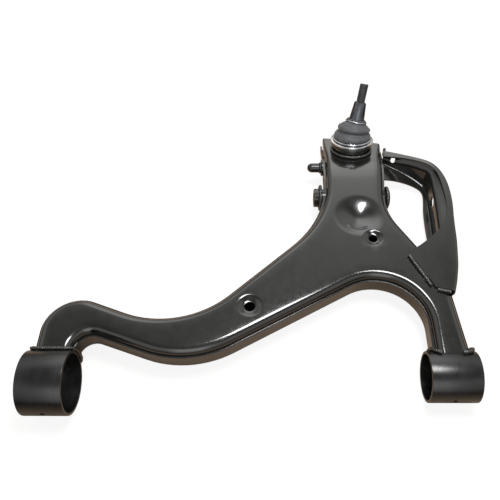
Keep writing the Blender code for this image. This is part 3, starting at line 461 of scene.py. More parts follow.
ARM_WALL = [wall_x(y * MM, 1) / MM - 3.0 for y in (409.0, 393.0, 398.0, 357.0)]
TOP = (ARM_TOP + GAP + BRACKET_SHEET) / MM
STATIONS = (                        # outer edge x, y, z; flange edge x, y; wall foot x, y, z; lip x, y (mm)
    (ARM_WALL[0], 409.0, 43.0, ARM_WALL[1], 393.0, ARM_WALL[2], 398.0, 24.0, ARM_WALL[3], 357.0),
    (221.0, 401.5, 47.0, 218.0, 388.5, 219.5, 391.5, 22.0, 222.0, 357.0),
    (250.0, 385.0, 54.5, 247.5, 376.5, 250.5, 377.0, 16.0, 242.5, 356.5),
    (275.0, 370.0, 59.5, 268.8, 363.6, 270.5, 363.5, 12.0, 258.0, 352.5),
    (287.0, 357.0, 61.2, 278.5, 354.0, 277.5, 356.0, 10.0, 268.0, 346.0),
    (295.0, 341.0, TOP, 285.5, 340.5, 280.0, 343.0, 10.0, 271.5, 336.5),
    (299.5, 322.0, TOP, 288.5, 322.0, 280.5, 325.0, 10.0, 271.0, 324.0),
    (301.0, 301.0, TOP, 290.0, 301.0, 280.5, 302.0, 10.0, 268.0, 302.0),
    (300.5, 280.0, TOP, 290.0, 281.0, 280.0, 281.0, 10.0, 266.5, 281.0),
    (298.5, 260.0, TOP, 287.0, 260.5, 279.0, 260.0, 10.0, 266.0, 260.0),
    (297.0, 243.0, TOP, 281.0, 243.0, 278.5, 243.0, 10.0, 266.0, 243.0),
    (296.0, 228.0, TOP, 268.5, 227.5, 278.5, 228.0, 10.0, 266.0, 228.0),
    (295.0, 213.0, TOP, 253.5, 213.0, 278.5, 213.0, 10.0, 266.0, 213.0),
    (293.5, 200.0, TOP, 239.0, 201.0, 279.0, 200.0, 10.0, 266.5, 200.0),
    (292.0, 188.0, TOP, 222.5, 188.0, 279.5, 188.0, 10.5, 266.0, 188.0),
    (289.5, 170.0, TOP, 231.0, 169.5, 279.5, 170.0, 13.0, 266.0, 170.0),
    (286.0, 154.0, TOP, 238.5, 153.5, 278.5, 154.0, 18.0, 265.0, 154.0),
    (282.0, 138.5, TOP, 246.0, 141.0, 277.5, 139.0, 23.0, 263.5, 140.0),
    (277.5, 124.5, TOP, 250.5, 131.0, 276.0, 125.5, 26.0, 262.0, 128.0),
)


def corner_arc(before, corner, after, radius, steps):
    """Points of a rounded corner between two straight runs of a section."""
    into = (before - corner).normalized()
    out = (after - corner).normalized()
    bisector = into + out
    if bisector.length < 0.02:
        return [corner + (into * (1 - k / steps) + out * (k / steps)) * MM for k in range(steps + 1)]
    bisector.normalize()
    reach = min(radius, 0.44 * (before - corner).length, 0.44 * (after - corner).length)
    centre = corner + bisector * reach / into.dot(bisector)
    start = corner + into * reach - centre
    end = corner + out * reach - centre
    return [centre + start.slerp(end, k / steps) * start.length for k in range(steps + 1)]


def bracket_section(values):
    """Outer face of the channel at one station, from the top flange's edge to the lip's edge."""
    ox, oy, oz, fx, fy, bx, by, bz, lx, ly = (value * MM for value in values)
    edge = Vector((fx, fy, oz))
    outer = Vector((ox, oy, oz))
    depth = oz - bz
    shoulder = Vector((ox, oy, oz - min(SHOULDER_DROP, 0.43 * depth)))
    pad = Vector((bx, by, oz - min(PAD_DROP, 0.53 * depth)))
    foot = Vector((bx, by, bz))
    lip = Vector((lx, ly, bz))
    return ([edge, edge.lerp(outer, 0.3), edge.lerp(outer, 0.5)] + corner_arc(edge, outer, shoulder,
                                                                              BRACKET_BEND, 6)
            + corner_arc(outer, shoulder, pad, BRACKET_BEND, 4) + corner_arc(shoulder, pad, foot, 4.0 * MM, 4)
            + corner_arc(pad, foot, lip, BRACKET_BEND, 6) + [lip])


def spline(rows, t):
    """Catmull-Rom value of the rows at parameter t, where whole numbers are the rows."""
    i = min(int(t), len(rows) - 2)
    u = t - i
    a, b, c, d = (rows[max(0, min(len(rows) - 1, i + k))] for k in (-1, 0, 1, 2))
    return [0.5 * (2 * q + (r - p) * u + (2 * p - 5 * q + 4 * r - w) * u * u + (3 * q - p - 3 * r + w) * u ** 3)
            for p, q, r, w in zip(a, b, c, d)]


strip = bmesh.new()
cross = [[strip.verts.new(p) for p in bracket_section(spline(STATIONS, k / 4))]
         for k in [0] + list(range(3, 4 * len(STATIONS) - 3))]
for near, far in zip(cross, cross[1:]):
    for k in range(len(near) - 1):
        strip.faces.new((near[k], near[k + 1], far[k + 1], far[k]))
bmesh.ops.recalc_face_normals(strip, faces=strip.faces[:])
if max(strip.faces, key=lambda f: f.calc_center_median().x).normal.x < 0.0:
    bmesh.ops.reverse_faces(strip, faces=strip.faces[:])
envelope = bmesh.new()
floor_loop, roof_loop = ([envelope.verts.new((p.x, p.y, z)) for p in outline(-GAP)]
                         for z in (-20.0 * MM, ARM_TOP + GAP / 2))
envelope.faces.new(floor_loop)
envelope.faces.new(roof_loop)
for k in range(len(floor_loop)):
    envelope.faces.new((floor_loop[k - 1], floor_loop[k], roof_loop[k], roof_loop[k - 1]))
bmesh.ops.recalc_face_normals(envelope, faces=envelope.faces[:])
bracket_cutters = [
    raw_piece("arm_envelope", envelope),
    rod("pad_hole", PAD_HOLE, (1, 0, 0), PAD_HOLE_R, 30.0 * MM),
    rod("drain_hole", DRAIN_HOLE, (0.47, 0.83, 0.3), DRAIN_HOLE_R, 30.0 * MM, 32),
]
finish_piece(raw_piece("damper_bracket_channel", strip), E_COAT, "arm", ["damper_bracket"],
             BRACKET_SHEET, bracket_cutters, 50.0)

# ---------------------------------------------------------------- bush sleeves
# Thick tubes cut and faced on a lathe, with bright narrow chamfers and a drilled hole underneath. The coat
# on them is thinner than on the sheet, so the turning marks dull it to satin.


def turned(name, profile, origin, axis, segments=96):
    """Turned piece: (radius, height) points from the top round the outside and back, closed off the axis."""
    bm = bmesh.new()
    frame_here = axis_frame(origin, axis)
    rows = []
    for radius, height in profile:
        if radius <= 0.0:
            rows.append([bm.verts.new(frame_here @ Vector((0.0, 0.0, height)))])
            continue
        rows.append([bm.verts.new(frame_here @ Vector((radius * math.cos(math.tau * k / segments),
                                                       radius * math.sin(math.tau * k / segments), height)))
                     for k in range(segments)])
    pairs = list(zip(rows, rows[1:]))
    if profile[0][0] > 0.0:
        pairs.append((rows[-1], rows[0]))
    for high, low in pairs:
        for k in range(segments):
            n = (k + 1) % segments
            corners = [high[k % len(high)], high[n % len(high)], low[n % len(low)], low[k % len(low)]]
            bm.faces.new(list(dict.fromkeys(corners)))
    bmesh.ops.recalc_face_normals(bm, faces=bm.faces[:])
    return raw_piece(name, bm)


def turned_coat(name, dark, light, axis, smoothest, roughest):
    """Satin black coat over turned steel; the marks run round the piece's axis, X, Y or Z."""
    material, tree, place = new_finish(name)
    stretch = [24.0, 24.0, 24.0]
    stretch[axis] = 1300.0
    along = add_node(tree, "ShaderNodeMapping", {"Vector": place, "Scale": stretch})
    marks = add_node(tree, "ShaderNodeTexNoise", {"Vector": along.outputs["Vector"], "Scale": 1.0,
                                                  "Detail": 3.0})
    cloud = add_node(tree, "ShaderNodeTexNoise", {"Vector": place, "Scale": 60.0, "Detail": 5.0})
    colour = add_node(tree, "ShaderNodeValToRGB", {"Fac": cloud.outputs["Fac"]},
                      stops=((0.3, dark), (0.75, light)))
    mixed = add_node(tree, "ShaderNodeMath", {0: cloud.outputs["Fac"], 1: marks.outputs["Fac"]},
                     operation="MULTIPLY")
    gloss = add_node(tree, "ShaderNodeMapRange", {"Value": mixed.outputs[0], "From Min": 0.12,
                                                  "From Max": 0.4,
                                                  "To Min": smoothest, "To Max": roughest})
    skin = add_node(tree, "ShaderNodeBump", {"Strength": 0.35, "Distance": 0.04 * MM,
                                             "Height": marks.outputs["Fac"]})
    shader = add_node(tree, "ShaderNodeBsdfPrincipled",
                      {"Base Color": colour.outputs["Color"], "Roughness": gloss.outputs["Result"],
                       "IOR": 1.5,
                       "Coat Weight": 0.1, "Coat Roughness": 0.2, "Normal": skin.outputs["Normal"]})
    add_node(tree, "ShaderNodeOutputMaterial", {"Surface": shader.outputs["BSDF"]})
    return material


SLEEVE_COAT = turned_coat("satin_black_coat_on_turned_tube", "#0b0b0b", "#121212", 0, 0.24, 0.36)
SLEEVE_WALL = 3.5 * MM
SLEEVE_HOLE_R = 3.0 * MM


def sleeve(node, x, y, radius, length):
    half = length / 2
    inner = radius - SLEEVE_WALL
    edge = 0.8 * MM
    ring = [(radius - edge, half), (radius - 0.2 * edge, half - 0.35 * edge), (radius, half - edge),
            (radius, edge - half), (radius - 0.2 * edge, 0.35 * edge - half), (radius - edge, -half),
            (inner + 0.5 * edge, -half), (inner, 0.5 * edge - half), (inner, half - 0.5 * edge),
            (inner + 0.5 * edge, half)]
    hole = rod(node + "_drill", Vector((x, y - radius, radius)), (0, 1, 0), SLEEVE_HOLE_R, radius, 32)
    tube = turned(node + "_tube", ring, Vector((x, y, radius)), (1, 0, 0), 160)
    finish_piece(tube, SLEEVE_COAT, "arm", [node], cutters=[hole], angle=28.0)
    bpy.data.objects.remove(hole)


sleeve("rear_bush_sleeve", REAR_X, REAR_SETBACK, REAR_R, REAR_LENGTH)
sleeve("front_bush_sleeve", FRONT_X, FRONT_SETBACK, FRONT_R, FRONT_LENGTH)

# ---------------------------------------------------------------- damper bolt tube and weld nut
# A drawn tube goes through the neck and stands out of its right wall; a hexagonal weld nut closes its left
# end.
NUT_ACROSS = 31.0 * MM
NUT_HEIGHT = 13.0 * MM
BORE_R = 8.25 * MM
NUT_FACE = wall_reach(BOLT.y, NUT_ACROSS / 2, -1) - GAP
TUBE_LEFT = NUT_FACE + GAP
TUBE_RIGHT = wall_x(BOLT.y, 1) + 8.5 * MM
half_tube = (TUBE_RIGHT - TUBE_LEFT) / 2
tube = turned("damper_bolt_tube_drawn",
              [(TUBE_R - MM, half_tube), (TUBE_R - 0.3 * MM, half_tube - 0.3 * MM), (TUBE_R, half_tube - MM),
               (TUBE_R, -half_tube), (BORE_R, -half_tube), (BORE_R, half_tube - 0.6 * MM),
               (BORE_R + 0.6 * MM, half_tube)],
              Vector(((TUBE_LEFT + TUBE_RIGHT) / 2, BOLT.y, BOLT.z)), (1, 0, 0), 96)
finish_piece(tube, SLEEVE_COAT, "arm", ["damper_bolt_tube"])

hexagon = bmesh.new()
nut_turn = axis_frame(Vector((NUT_FACE - NUT_HEIGHT / 2, BOLT.y, BOLT.z)), (1, 0, 0))
corner_r = NUT_ACROSS / 2
flat_r = corner_r * math.cos(math.radians(30.0))
levels = ((-0.5, 0.0), (-0.5, 1.0), (-0.42, 1.0), (0.42, 1.0), (0.5, 1.0), (0.5, 0.0))
rows = []
for level, size in levels:
    row = []
    for k in range(48):
        angle = math.tau * k / 48
        reach = flat_r / math.cos((angle + math.pi / 6) % (math.pi / 3) - math.pi / 6)
        if abs(level) == 0.5:
            reach = min(reach, flat_r)
        if size == 0.0:
            reach = BORE_R
        row.append(hexagon.verts.new(nut_turn @ Vector((reach * math.cos(angle), reach * math.sin(angle),
                                                        level * NUT_HEIGHT))))
    rows.append(row)
for first, second in zip(rows, rows[1:] + rows[:1]):
    for k in range(48):
        hexagon.faces.new((first[k - 1], first[k], second[k], second[k - 1]))
bmesh.ops.recalc_face_normals(hexagon, faces=hexagon.faces[:])
finish_piece(raw_piece("damper_weld_nut_hexagon", hexagon), E_COAT, "arm", ["damper_weld_nut"],
             angle=22.0)

# ---------------------------------------------------------------- sensor stud and its cap
# A flanged steel pin welded to the neck's left wall, with a moulded black plastic cap pushed over its shank.
STUD_AT = Vector((wall_reach(373.0 * MM, 13.0 * MM, -1) - GAP, 373.0 * MM, 36.0 * MM))
FLANGE_R = 13.0 * MM
FLANGE_T = 3.0 * MM
SHANK_R = 4.0 * MM
SHANK_L = 15.0 * MM
CAP_R = 7.5 * MM
pin = turned("sensor_stud_pin",
             [(0.0, FLANGE_T + SHANK_L), (SHANK_R - 0.5 * MM, FLANGE_T + SHANK_L),
              (SHANK_R, FLANGE_T + SHANK_L - 0.5 * MM), (SHANK_R, FLANGE_T), (FLANGE_R - 0.9 * MM, FLANGE_T),
              (FLANGE_R - 0.25 * MM, FLANGE_T - 0.25 * MM), (FLANGE_R, FLANGE_T - 0.9 * MM), (FLANGE_R, 0.0),
              (0.0, 0.0)], STUD_AT, (-1, 0, 0), 64)
finish_piece(pin, SLEEVE_COAT, "arm", ["sensor_stud"])

CAP_PLASTIC, cap_tree, cap_place = new_finish("moulded_black_polyethylene")
cap_cloud = add_node(cap_tree, "ShaderNodeTexNoise", {"Vector": cap_place, "Scale": 180.0, "Detail": 3.0})
cap_colour = add_node(cap_tree, "ShaderNodeValToRGB", {"Fac": cap_cloud.outputs["Fac"]},
                      stops=((0.3, "#0b0b0c"), (0.7, "#131314")))
cap_gloss = add_node(cap_tree, "ShaderNodeMapRange", {"Value": cap_cloud.outputs["Fac"], "To Min": 0.22,
                                                      "To Max": 0.38})
cap_grain = add_node(cap_tree, "ShaderNodeTexNoise", {"Vector": cap_place, "Scale": 900.0})
cap_skin = add_node(cap_tree, "ShaderNodeBump", {"Strength": 0.2, "Distance": 0.05 * MM,
                                                 "Height": cap_grain.outputs["Fac"]})
cap_shader = add_node(cap_tree, "ShaderNodeBsdfPrincipled",
                      {"Base Color": cap_colour.outputs["Color"], "Roughness": cap_gloss.outputs["Result"],
                       "IOR": 1.5, "Normal": cap_skin.outputs["Normal"]})
add_node(cap_tree, "ShaderNodeOutputMaterial", {"Surface": cap_shader.outputs["BSDF"]})
cap_base = FLANGE_T + GAP
cap_end = cap_base + 22.0 * MM
nose = [(CAP_R * math.sin(math.radians(7.5 * k)), cap_end - CAP_R * (1.0 - math.cos(math.radians(7.5 * k))))
        for k in range(13)]
cap = turned("sensor_stud_cap_moulding",
             nose + [(CAP_R, cap_base + 3.4 * MM), (CAP_R + 0.5 * MM, cap_base + 2.7 * MM),
                     (CAP_R + 1.2 * MM, cap_base + 2.4 * MM), (CAP_R + 1.5 * MM, cap_base + 1.9 * MM),
                     (CAP_R + 1.5 * MM, cap_base + 0.4 * MM), (CAP_R + 1.1 * MM, cap_base),
                     (SHANK_R + GAP, cap_base), (SHANK_R + GAP, FLANGE_T + SHANK_L + MM),
                     (0.0, FLANGE_T + SHANK_L + MM)], STUD_AT, (-1, 0, 0), 72)
finish_piece(cap, CAP_PLASTIC, "arm", ["sensor_stud_cap"])

# ---------------------------------------------------------------- ball joint: carrier and housing
# A turned collar is welded into the arm's end and painted with it. The forged housing is zinc plated,
# pressed in from above until its flange sits on the collar, and held by a snap ring below.
CARRIER_BORE = CARRIER_R - 4.5 * MM
CARRIER_TOP = 2.5 * MM
RIM_R = 34.0 * MM
CARRIER_BOTTOM = -46.0 * MM
carrier = turned("ball_joint_collar",
                 [(RIM_R - MM, CARRIER_TOP), (RIM_R - 0.3 * MM, CARRIER_TOP - 0.3 * MM), (RIM_R,
                                                                                          CARRIER_TOP - MM),
                  (RIM_R, CARRIER_TOP - 5.0 * MM), (CARRIER_R, CARRIER_TOP - 8.0 * MM),
                  (CARRIER_R, CARRIER_BOTTOM + MM), (CARRIER_R - MM, CARRIER_BOTTOM),
                  (CARRIER_BORE, CARRIER_BOTTOM), (CARRIER_BORE, CARRIER_TOP)], BALL, HOUSING_AXIS, 128)
finish_piece(carrier, E_COAT, "arm", ["ball_joint_carrier"])


def bare_steel(name, dark, light, smoothest, roughest, turn_axis, marks_scale, marks_strength, metal=1.0):
    """Bare or plated steel: uneven tone, roughness that follows it, and marks round the given axis."""
    material, tree, place = new_finish(name)
    turn = turn_axis.rotation_difference(Vector((0.0, 0.0, 1.0))).to_euler()
    upright = add_node(tree, "ShaderNodeMapping", {"Vector": place, "Rotation": turn}, vector_type="TEXTURE")
    along = add_node(tree, "ShaderNodeMapping", {"Vector": upright.outputs["Vector"],
                                                 "Scale": (30.0, 30.0, marks_scale)})
    marks = add_node(tree, "ShaderNodeTexNoise", {"Vector": along.outputs["Vector"], "Scale": 1.0,
                                                  "Detail": 3.0})
    cloud = add_node(tree, "ShaderNodeTexNoise", {"Vector": place, "Scale": 90.0, "Detail": 5.0})
    colour = add_node(tree, "ShaderNodeValToRGB", {"Fac": cloud.outputs["Fac"]},
                      stops=((0.3, dark), (0.72, light)))
    gloss = add_node(tree, "ShaderNodeMapRange", {"Value": cloud.outputs["Fac"], "From Min": 0.3,
                                                  "From Max": 0.7,
                                                  "To Min": smoothest, "To Max": roughest})
    skin = add_node(tree, "ShaderNodeBump", {"Strength": marks_strength, "Distance": 0.05 * MM,
                                             "Height": marks.outputs["Fac"]})
    shader = add_node(tree, "ShaderNodeBsdfPrincipled",
                      {"Base Color": colour.outputs["Color"], "Roughness": gloss.outputs["Result"],
                       "Metallic": metal,
                       "Normal": skin.outputs["Normal"]})
    add_node(tree, "ShaderNodeOutputMaterial", {"Surface": shader.outputs["BSDF"]})
    return material


ZINC = bare_steel("zinc_plated_steel", "#b9babd", "#dcdde0", 0.16, 0.30, HOUSING_AXIS, 900.0, 0.25)
BALL_R = 17.0 * MM
SOCKET_TOP = 9.0 * MM
SEAT_R = BALL_R + GAP + 3.0 * MM
SOCKET_R = SEAT_R + GAP
HOUSING_R = CARRIER_BORE - GAP
HOUSING_BOTTOM = -26.0 * MM
HOUSING_FLANGE_R = 35.0 * MM
FLANGE_BASE = CARRIER_TOP + GAP
FLANGE_UP = FLANGE_BASE + 3.5 * MM


def dome_arc(radius, top, steps=12):
    """Profile of a sphere round the ball's centre, from its top edge down to the equator."""
    limit = math.asin(top / radius)
    return [(radius * math.cos(limit * (1 - k / steps)), radius * math.sin(limit * (1 - k / steps)))
            for k in range(steps + 1)]


housing = turned(
    "ball_joint_forged_housing",
    [(HOUSING_R - 2.0 * MM, SOCKET_TOP), (HOUSING_R - 1.3 * MM, SOCKET_TOP - 0.3 * MM),
     (HOUSING_R - MM, SOCKET_TOP - MM), (HOUSING_R - MM, FLANGE_UP), (HOUSING_FLANGE_R - 1.1 * MM, FLANGE_UP),
     (HOUSING_FLANGE_R - 0.3 * MM, FLANGE_UP - 0.3 * MM), (HOUSING_FLANGE_R, FLANGE_UP - 1.1 * MM),
     (HOUSING_FLANGE_R, FLANGE_BASE + 1.3 * MM), (HOUSING_FLANGE_R - 1.2 * MM, FLANGE_BASE + 1.1 * MM),
     (HOUSING_FLANGE_R - 1.2 * MM, FLANGE_BASE), (HOUSING_R, FLANGE_BASE), (HOUSING_R, HOUSING_BOTTOM),
     (SOCKET_R, HOUSING_BOTTOM)] + list(reversed(dome_arc(SOCKET_R, SOCKET_TOP))), BALL, HOUSING_AXIS, 144)
finish_piece(housing, ZINC, "arm", ["ball_joint_housing"])

# ---------------------------------------------------------------- ball joint: seat, cover and snap ring
# The natural nylon seat holds the ball, a pressed cover closes the housing and a spring steel ring keeps it
# in its collar. Only the cover and the ring show, and only from below.
NYLON, nylon_tree, nylon_place = new_finish("moulded_natural_nylon")
nylon_cloud = add_node(nylon_tree, "ShaderNodeTexNoise", {"Vector": nylon_place, "Scale": 120.0,
                                                          "Detail": 3.0})
nylon_colour = add_node(nylon_tree, "ShaderNodeValToRGB", {"Fac": nylon_cloud.outputs["Fac"]},
                        stops=((0.3, "#cfc7b0"), (0.7, "#ddd6c4")))
nylon_skin = add_node(nylon_tree, "ShaderNodeBump", {"Strength": 0.2, "Distance": 0.05 * MM,
                                                     "Height": nylon_cloud.outputs["Fac"]})
nylon_shader = add_node(nylon_tree, "ShaderNodeBsdfPrincipled",
                        {"Base Color": nylon_colour.outputs["Color"], "Roughness": 0.42, "IOR": 1.53,
                         "Normal": nylon_skin.outputs["Normal"]})
add_node(nylon_tree, "ShaderNodeOutputMaterial", {"Surface": nylon_shader.outputs["BSDF"]})
SPRING_STEEL = bare_steel("oiled_spring_steel", "#3a3a3c", "#5b5c5f", 0.25, 0.42, HOUSING_AXIS, 700.0, 0.3)
for node, finish in (("ball_seat", NYLON), ("ball_joint_cover", ZINC), ("snap_ring", SPRING_STEEL)):
    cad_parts[node].data.materials.clear()
    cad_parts[node].data.materials.append(finish)

# ---------------------------------------------------------------- dust boot and its rings
# Grey moulded rubber with two convolutions, matt and slightly chalky. A wire ring clamps it to the housing
# and a thinner one to the stud; it bends where the stud leans.
STUD_TILT = math.radians(17.0)
STUD_AZIMUTH = math.radians(55.0)
LEAN = math.cos(STUD_AZIMUTH) * Vector((1.0, 0.0, 0.0)) + math.sin(STUD_AZIMUTH) * OUTBOARD
STUD_AXIS = (math.cos(STUD_TILT) * HOUSING_AXIS + math.sin(STUD_TILT) * LEAN).normalized()
BOOT_PROFILE = (                    # distance from the ball's centre, radius of the outer face (mm)
    (7.2, 28.2), (9.6, 28.2), (11.2, 29.8), (13.6, 30.0), (16.4, 28.2), (18.6, 24.6), (20.3, 23.4),
    (21.9, 25.6), (24.2, 26.8), (26.6, 25.8), (28.0, 23.2), (29.6, 21.8), (32.4, 17.6), (34.2, 15.4), (36.0,
                                                                                                       15.4),
                (37.5, 16.4))
BOOT_WALL = 2.0 * MM

RUBBER, rubber_tree, rubber_place = new_finish("moulded_grey_rubber")
chalk = add_node(rubber_tree, "ShaderNodeTexNoise", {"Vector": rubber_place, "Scale": 140.0, "Detail": 5.0})
rubber_colour = add_node(rubber_tree, "ShaderNodeValToRGB", {"Fac": chalk.outputs["Fac"]},
                         stops=((0.25, "#37383a"), (0.55, "#424346"), (0.8, "#55565a")))
rubber_gloss = add_node(rubber_tree, "ShaderNodeMapRange", {"Value": chalk.outputs["Fac"], "To Min": 0.5,
                                                            "To Max": 0.75})
pores = add_node(rubber_tree, "ShaderNodeTexNoise", {"Vector": rubber_place, "Scale": 1100.0, "Detail": 2.0})
rubber_skin = add_node(rubber_tree, "ShaderNodeBump", {"Strength": 0.4, "Distance": 0.08 * MM,
                                                       "Height": pores.outputs["Fac"]})
rubber_shader = add_node(rubber_tree, "ShaderNodeBsdfPrincipled",
                         {"Base Color": rubber_colour.outputs["Color"],
                          "Roughness": rubber_gloss.outputs["Result"],
                          "IOR": 1.5, "Sheen Weight": 0.15, "Normal": rubber_skin.outputs["Normal"]})
add_node(rubber_tree, "ShaderNodeOutputMaterial", {"Surface": rubber_shader.outputs["BSDF"]})


def boot_frame(distance):
    """Ring frame of the boot, its axis turning from the housing's to the stud's."""
    share = smooth((distance - 9.0) / 25.5)
    axis = (HOUSING_AXIS * (1.0 - share) + STUD_AXIS * share).normalized()
    return axis_frame(BALL + axis * distance * MM, axis)


boot_mesh = bmesh.new()
boot_rings = []
for k in range(4 * (len(BOOT_PROFILE) - 1) + 1):
    distance, radius = spline(BOOT_PROFILE, k / 4)
    ring_frame = boot_frame(distance)
    boot_rings.append([boot_mesh.verts.new(ring_frame @ Vector((radius * MM * math.cos(a),
                                                                radius * MM * math.sin(a), 0.0)))
                       for a in (math.tau * n / 96 for n in range(96))])
for low, high in zip(boot_rings, boot_rings[1:]):
    for n in range(96):
        boot_mesh.faces.new((low[n], low[(n + 1) % 96], high[(n + 1) % 96], high[n]))
boot = raw_piece("dust_boot_moulding", boot_mesh)
wall = boot.modifiers.new("rubber", "SOLIDIFY")
wall.thickness = BOOT_WALL
wall.offset = -1.0
boot_data = bpy.data.meshes.new_from_object(boot.evaluated_get(bpy.context.evaluated_depsgraph_get()))
boot.modifiers.clear()
boot.data = boot_data
boot_data.transform(Matrix.Translation(LAYOUT))
boot_data.materials.append(RUBBER)
boot_data.shade_smooth()
boot_data.set_sharp_from_angle(angle=math.radians(50.0))
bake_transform(boot)
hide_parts("dust_boot")


def wire_ring(name, wire_r, height, centre_r, axis, body, node):
    ring = [(centre_r + wire_r * math.cos(-math.tau * k / 16), height + wire_r * math.sin(-math.tau * k / 16))
            for k in range(16)]
    finish_piece(turned(name, ring, BALL, axis, 120), ZINC, body, [node], angle=60.0)


wire_ring("boot_base_wire", 1.3 * MM, 8.8 * MM, 28.8 * MM + GAP + 1.3 * MM, HOUSING_AXIS, "arm",
          "boot_lower_ring")
wire_ring("boot_neck_wire", 0.9 * MM, 35.1 * MM, 15.6 * MM + GAP + 0.9 * MM, STUD_AXIS, "boot_collar",
          "boot_upper_ring")

# ---------------------------------------------------------------- ball stud and its thread
# Forged and ground steel: a ball, a smooth taper and an M14 thread left dark by its phosphate coat.
GROUND = bare_steel("ground_alloy_steel", "#3c3d40", "#636569", 0.18, 0.30, STUD_AXIS, 1500.0, 0.3, 0.85)
PHOSPHATE = bare_steel("phosphated_thread_steel", "#1a1a1b", "#333335", 0.45, 0.62, STUD_AXIS, 1500.0, 0.2,
                       0.0)
BOOT_TOP = 37.5 * MM
TAPER_END = BOOT_TOP + 28.0 * MM
THREAD_BASE = TAPER_END + 1.5 * MM
THREAD_R = 7.0 * MM
TIP = THREAD_BASE + 28.0 * MM
PITCH = 1.9 * MM                    # drawn a little coarser than the real 1.5 mm so that it shows
NECK_R = 8.5 * MM
neck_angle = math.asin(NECK_R / BALL_R)
ball_arc = [(BALL_R * math.sin(a), BALL_R * math.cos(a)) for a in
            (neck_angle + (math.radians(152.0) - neck_angle) * k / 24 for k in range(25))]
stud = turned("ball_stud_forging",
              [(0.0, TIP), (THREAD_R - 1.6 * MM, TIP), (THREAD_R - 0.6 * MM, TIP - MM),
               (THREAD_R - 0.6 * MM, THREAD_BASE + 0.5 * MM), (THREAD_R - 0.2 * MM, THREAD_BASE),
               (8.7 * MM, TAPER_END + 0.6 * MM), (9.5 * MM, TAPER_END + 0.25 * MM), (9.7 * MM,
                                                                                     TAPER_END - 0.3 * MM),
               (12.6 * MM, BOOT_TOP), (12.6 * MM, 32.5 * MM), (NECK_R, 24.0 * MM)] + ball_arc
              + [(0.0, ball_arc[-1][1])], BALL, STUD_AXIS, 96)
stud = finish_piece(stud, GROUND, "stud", ["ball_stud"])
stud.data.materials.append(PHOSPHATE)
for face in stud.data.polygons:
    if (Vector(face.center) - BALL - LAYOUT).dot(STUD_AXIS) > THREAD_BASE - 0.3 * MM:
        face.material_index = 1


def named_tree(name, sockets):
    """An empty modifier tree with these named inputs, its input node and its output node."""
    tree = bpy.data.node_groups.new(name, "GeometryNodeTree")
    tree.is_modifier = True
    for label, kind in (("Geometry", "NodeSocketGeometry"), *sockets):
        tree.interface.new_socket(label, in_out="INPUT", socket_type=kind)
    tree.interface.new_socket("Geometry", in_out="OUTPUT", socket_type="NodeSocketGeometry")
    return tree, add_node(tree, "NodeGroupInput").outputs


def grown(obj, tree, values):
    """Plain mesh that the tree makes of an object, with its named inputs set to the values."""
    modifier = obj.modifiers.new(tree.name, "NODES")
    modifier.node_group = tree
    for item in tree.interface.items_tree:
        if item.in_out == "INPUT" and item.name in values:
            modifier[item.identifier] = values[item.name]
    mesh = bpy.data.meshes.new_from_object(obj.evaluated_get(bpy.context.evaluated_depsgraph_get()))
    obj.modifiers.clear()
    obj.data = mesh
    return obj


THREAD_TREE, given = named_tree("rolled_thread", (
    ("Thread Radius", "NodeSocketFloat"), ("Pitch", "NodeSocketFloat"), ("Length", "NodeSocketFloat"),
    ("Steps Per Turn", "NodeSocketInt"), ("Finish", "NodeSocketMaterial")))
turns = add_node(THREAD_TREE, "ShaderNodeMath", {0: given["Length"], 1: given["Pitch"]}, operation="DIVIDE")
helix = add_node(THREAD_TREE, "GeometryNodeCurveSpiral",
                 {"Resolution": given["Steps Per Turn"], "Rotations": turns.outputs[0],
                  "Start Radius": given["Thread Radius"], "End Radius": given["Thread Radius"],
                  "Height": given["Length"]})
crest_size = add_node(THREAD_TREE, "ShaderNodeMath", {0: given["Pitch"], 1: 0.42}, operation="MULTIPLY")
crest = add_node(THREAD_TREE, "GeometryNodeCurvePrimitiveCircle", {"Resolution": 6,
                                                                   "Radius": crest_size.outputs[0]})
ridge = add_node(THREAD_TREE, "GeometryNodeCurveToMesh", {"Curve": helix.outputs["Curve"],
                                                          "Profile Curve": crest.outputs["Curve"],
                                                          "Fill Caps": True})
solid_ridge = add_node(THREAD_TREE, "GeometryNodeRealizeInstances", {"Geometry": ridge.outputs["Mesh"]})
painted_ridge = add_node(THREAD_TREE, "GeometryNodeSetMaterial", {"Geometry": solid_ridge.outputs["Geometry"],
                                                                  "Material": given["Finish"]})
add_node(THREAD_TREE, "NodeGroupOutput", {"Geometry": painted_ridge.outputs["Geometry"]})

thread = raw_piece("ball_stud_thread", bmesh.new())
grown(thread, THREAD_TREE, {"Thread Radius": THREAD_R - 0.8 * MM, "Pitch": PITCH, "Length": 26.6 * MM,
                            "Steps Per Turn": 40, "Finish": PHOSPHATE})
thread.data.transform(Matrix.Translation(LAYOUT) @ axis_frame(BALL + STUD_AXIS * (THREAD_BASE + MM),
                                                              STUD_AXIS))
thread.data.shade_smooth()
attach(thread, "stud")

# ---------------------------------------------------------------- weld beads
# Arc weld beads, one row of overlapping drops each, coated with the arm. The coat is glossy on them, so
# every ripple and drop catches a small highlight.
WELD_COAT = e_coat("black_e_coat_on_weld", "#1c1b1a", "#2a2927", 0.12, 0.26, 0.5)
WELD_R = 2.4 * MM

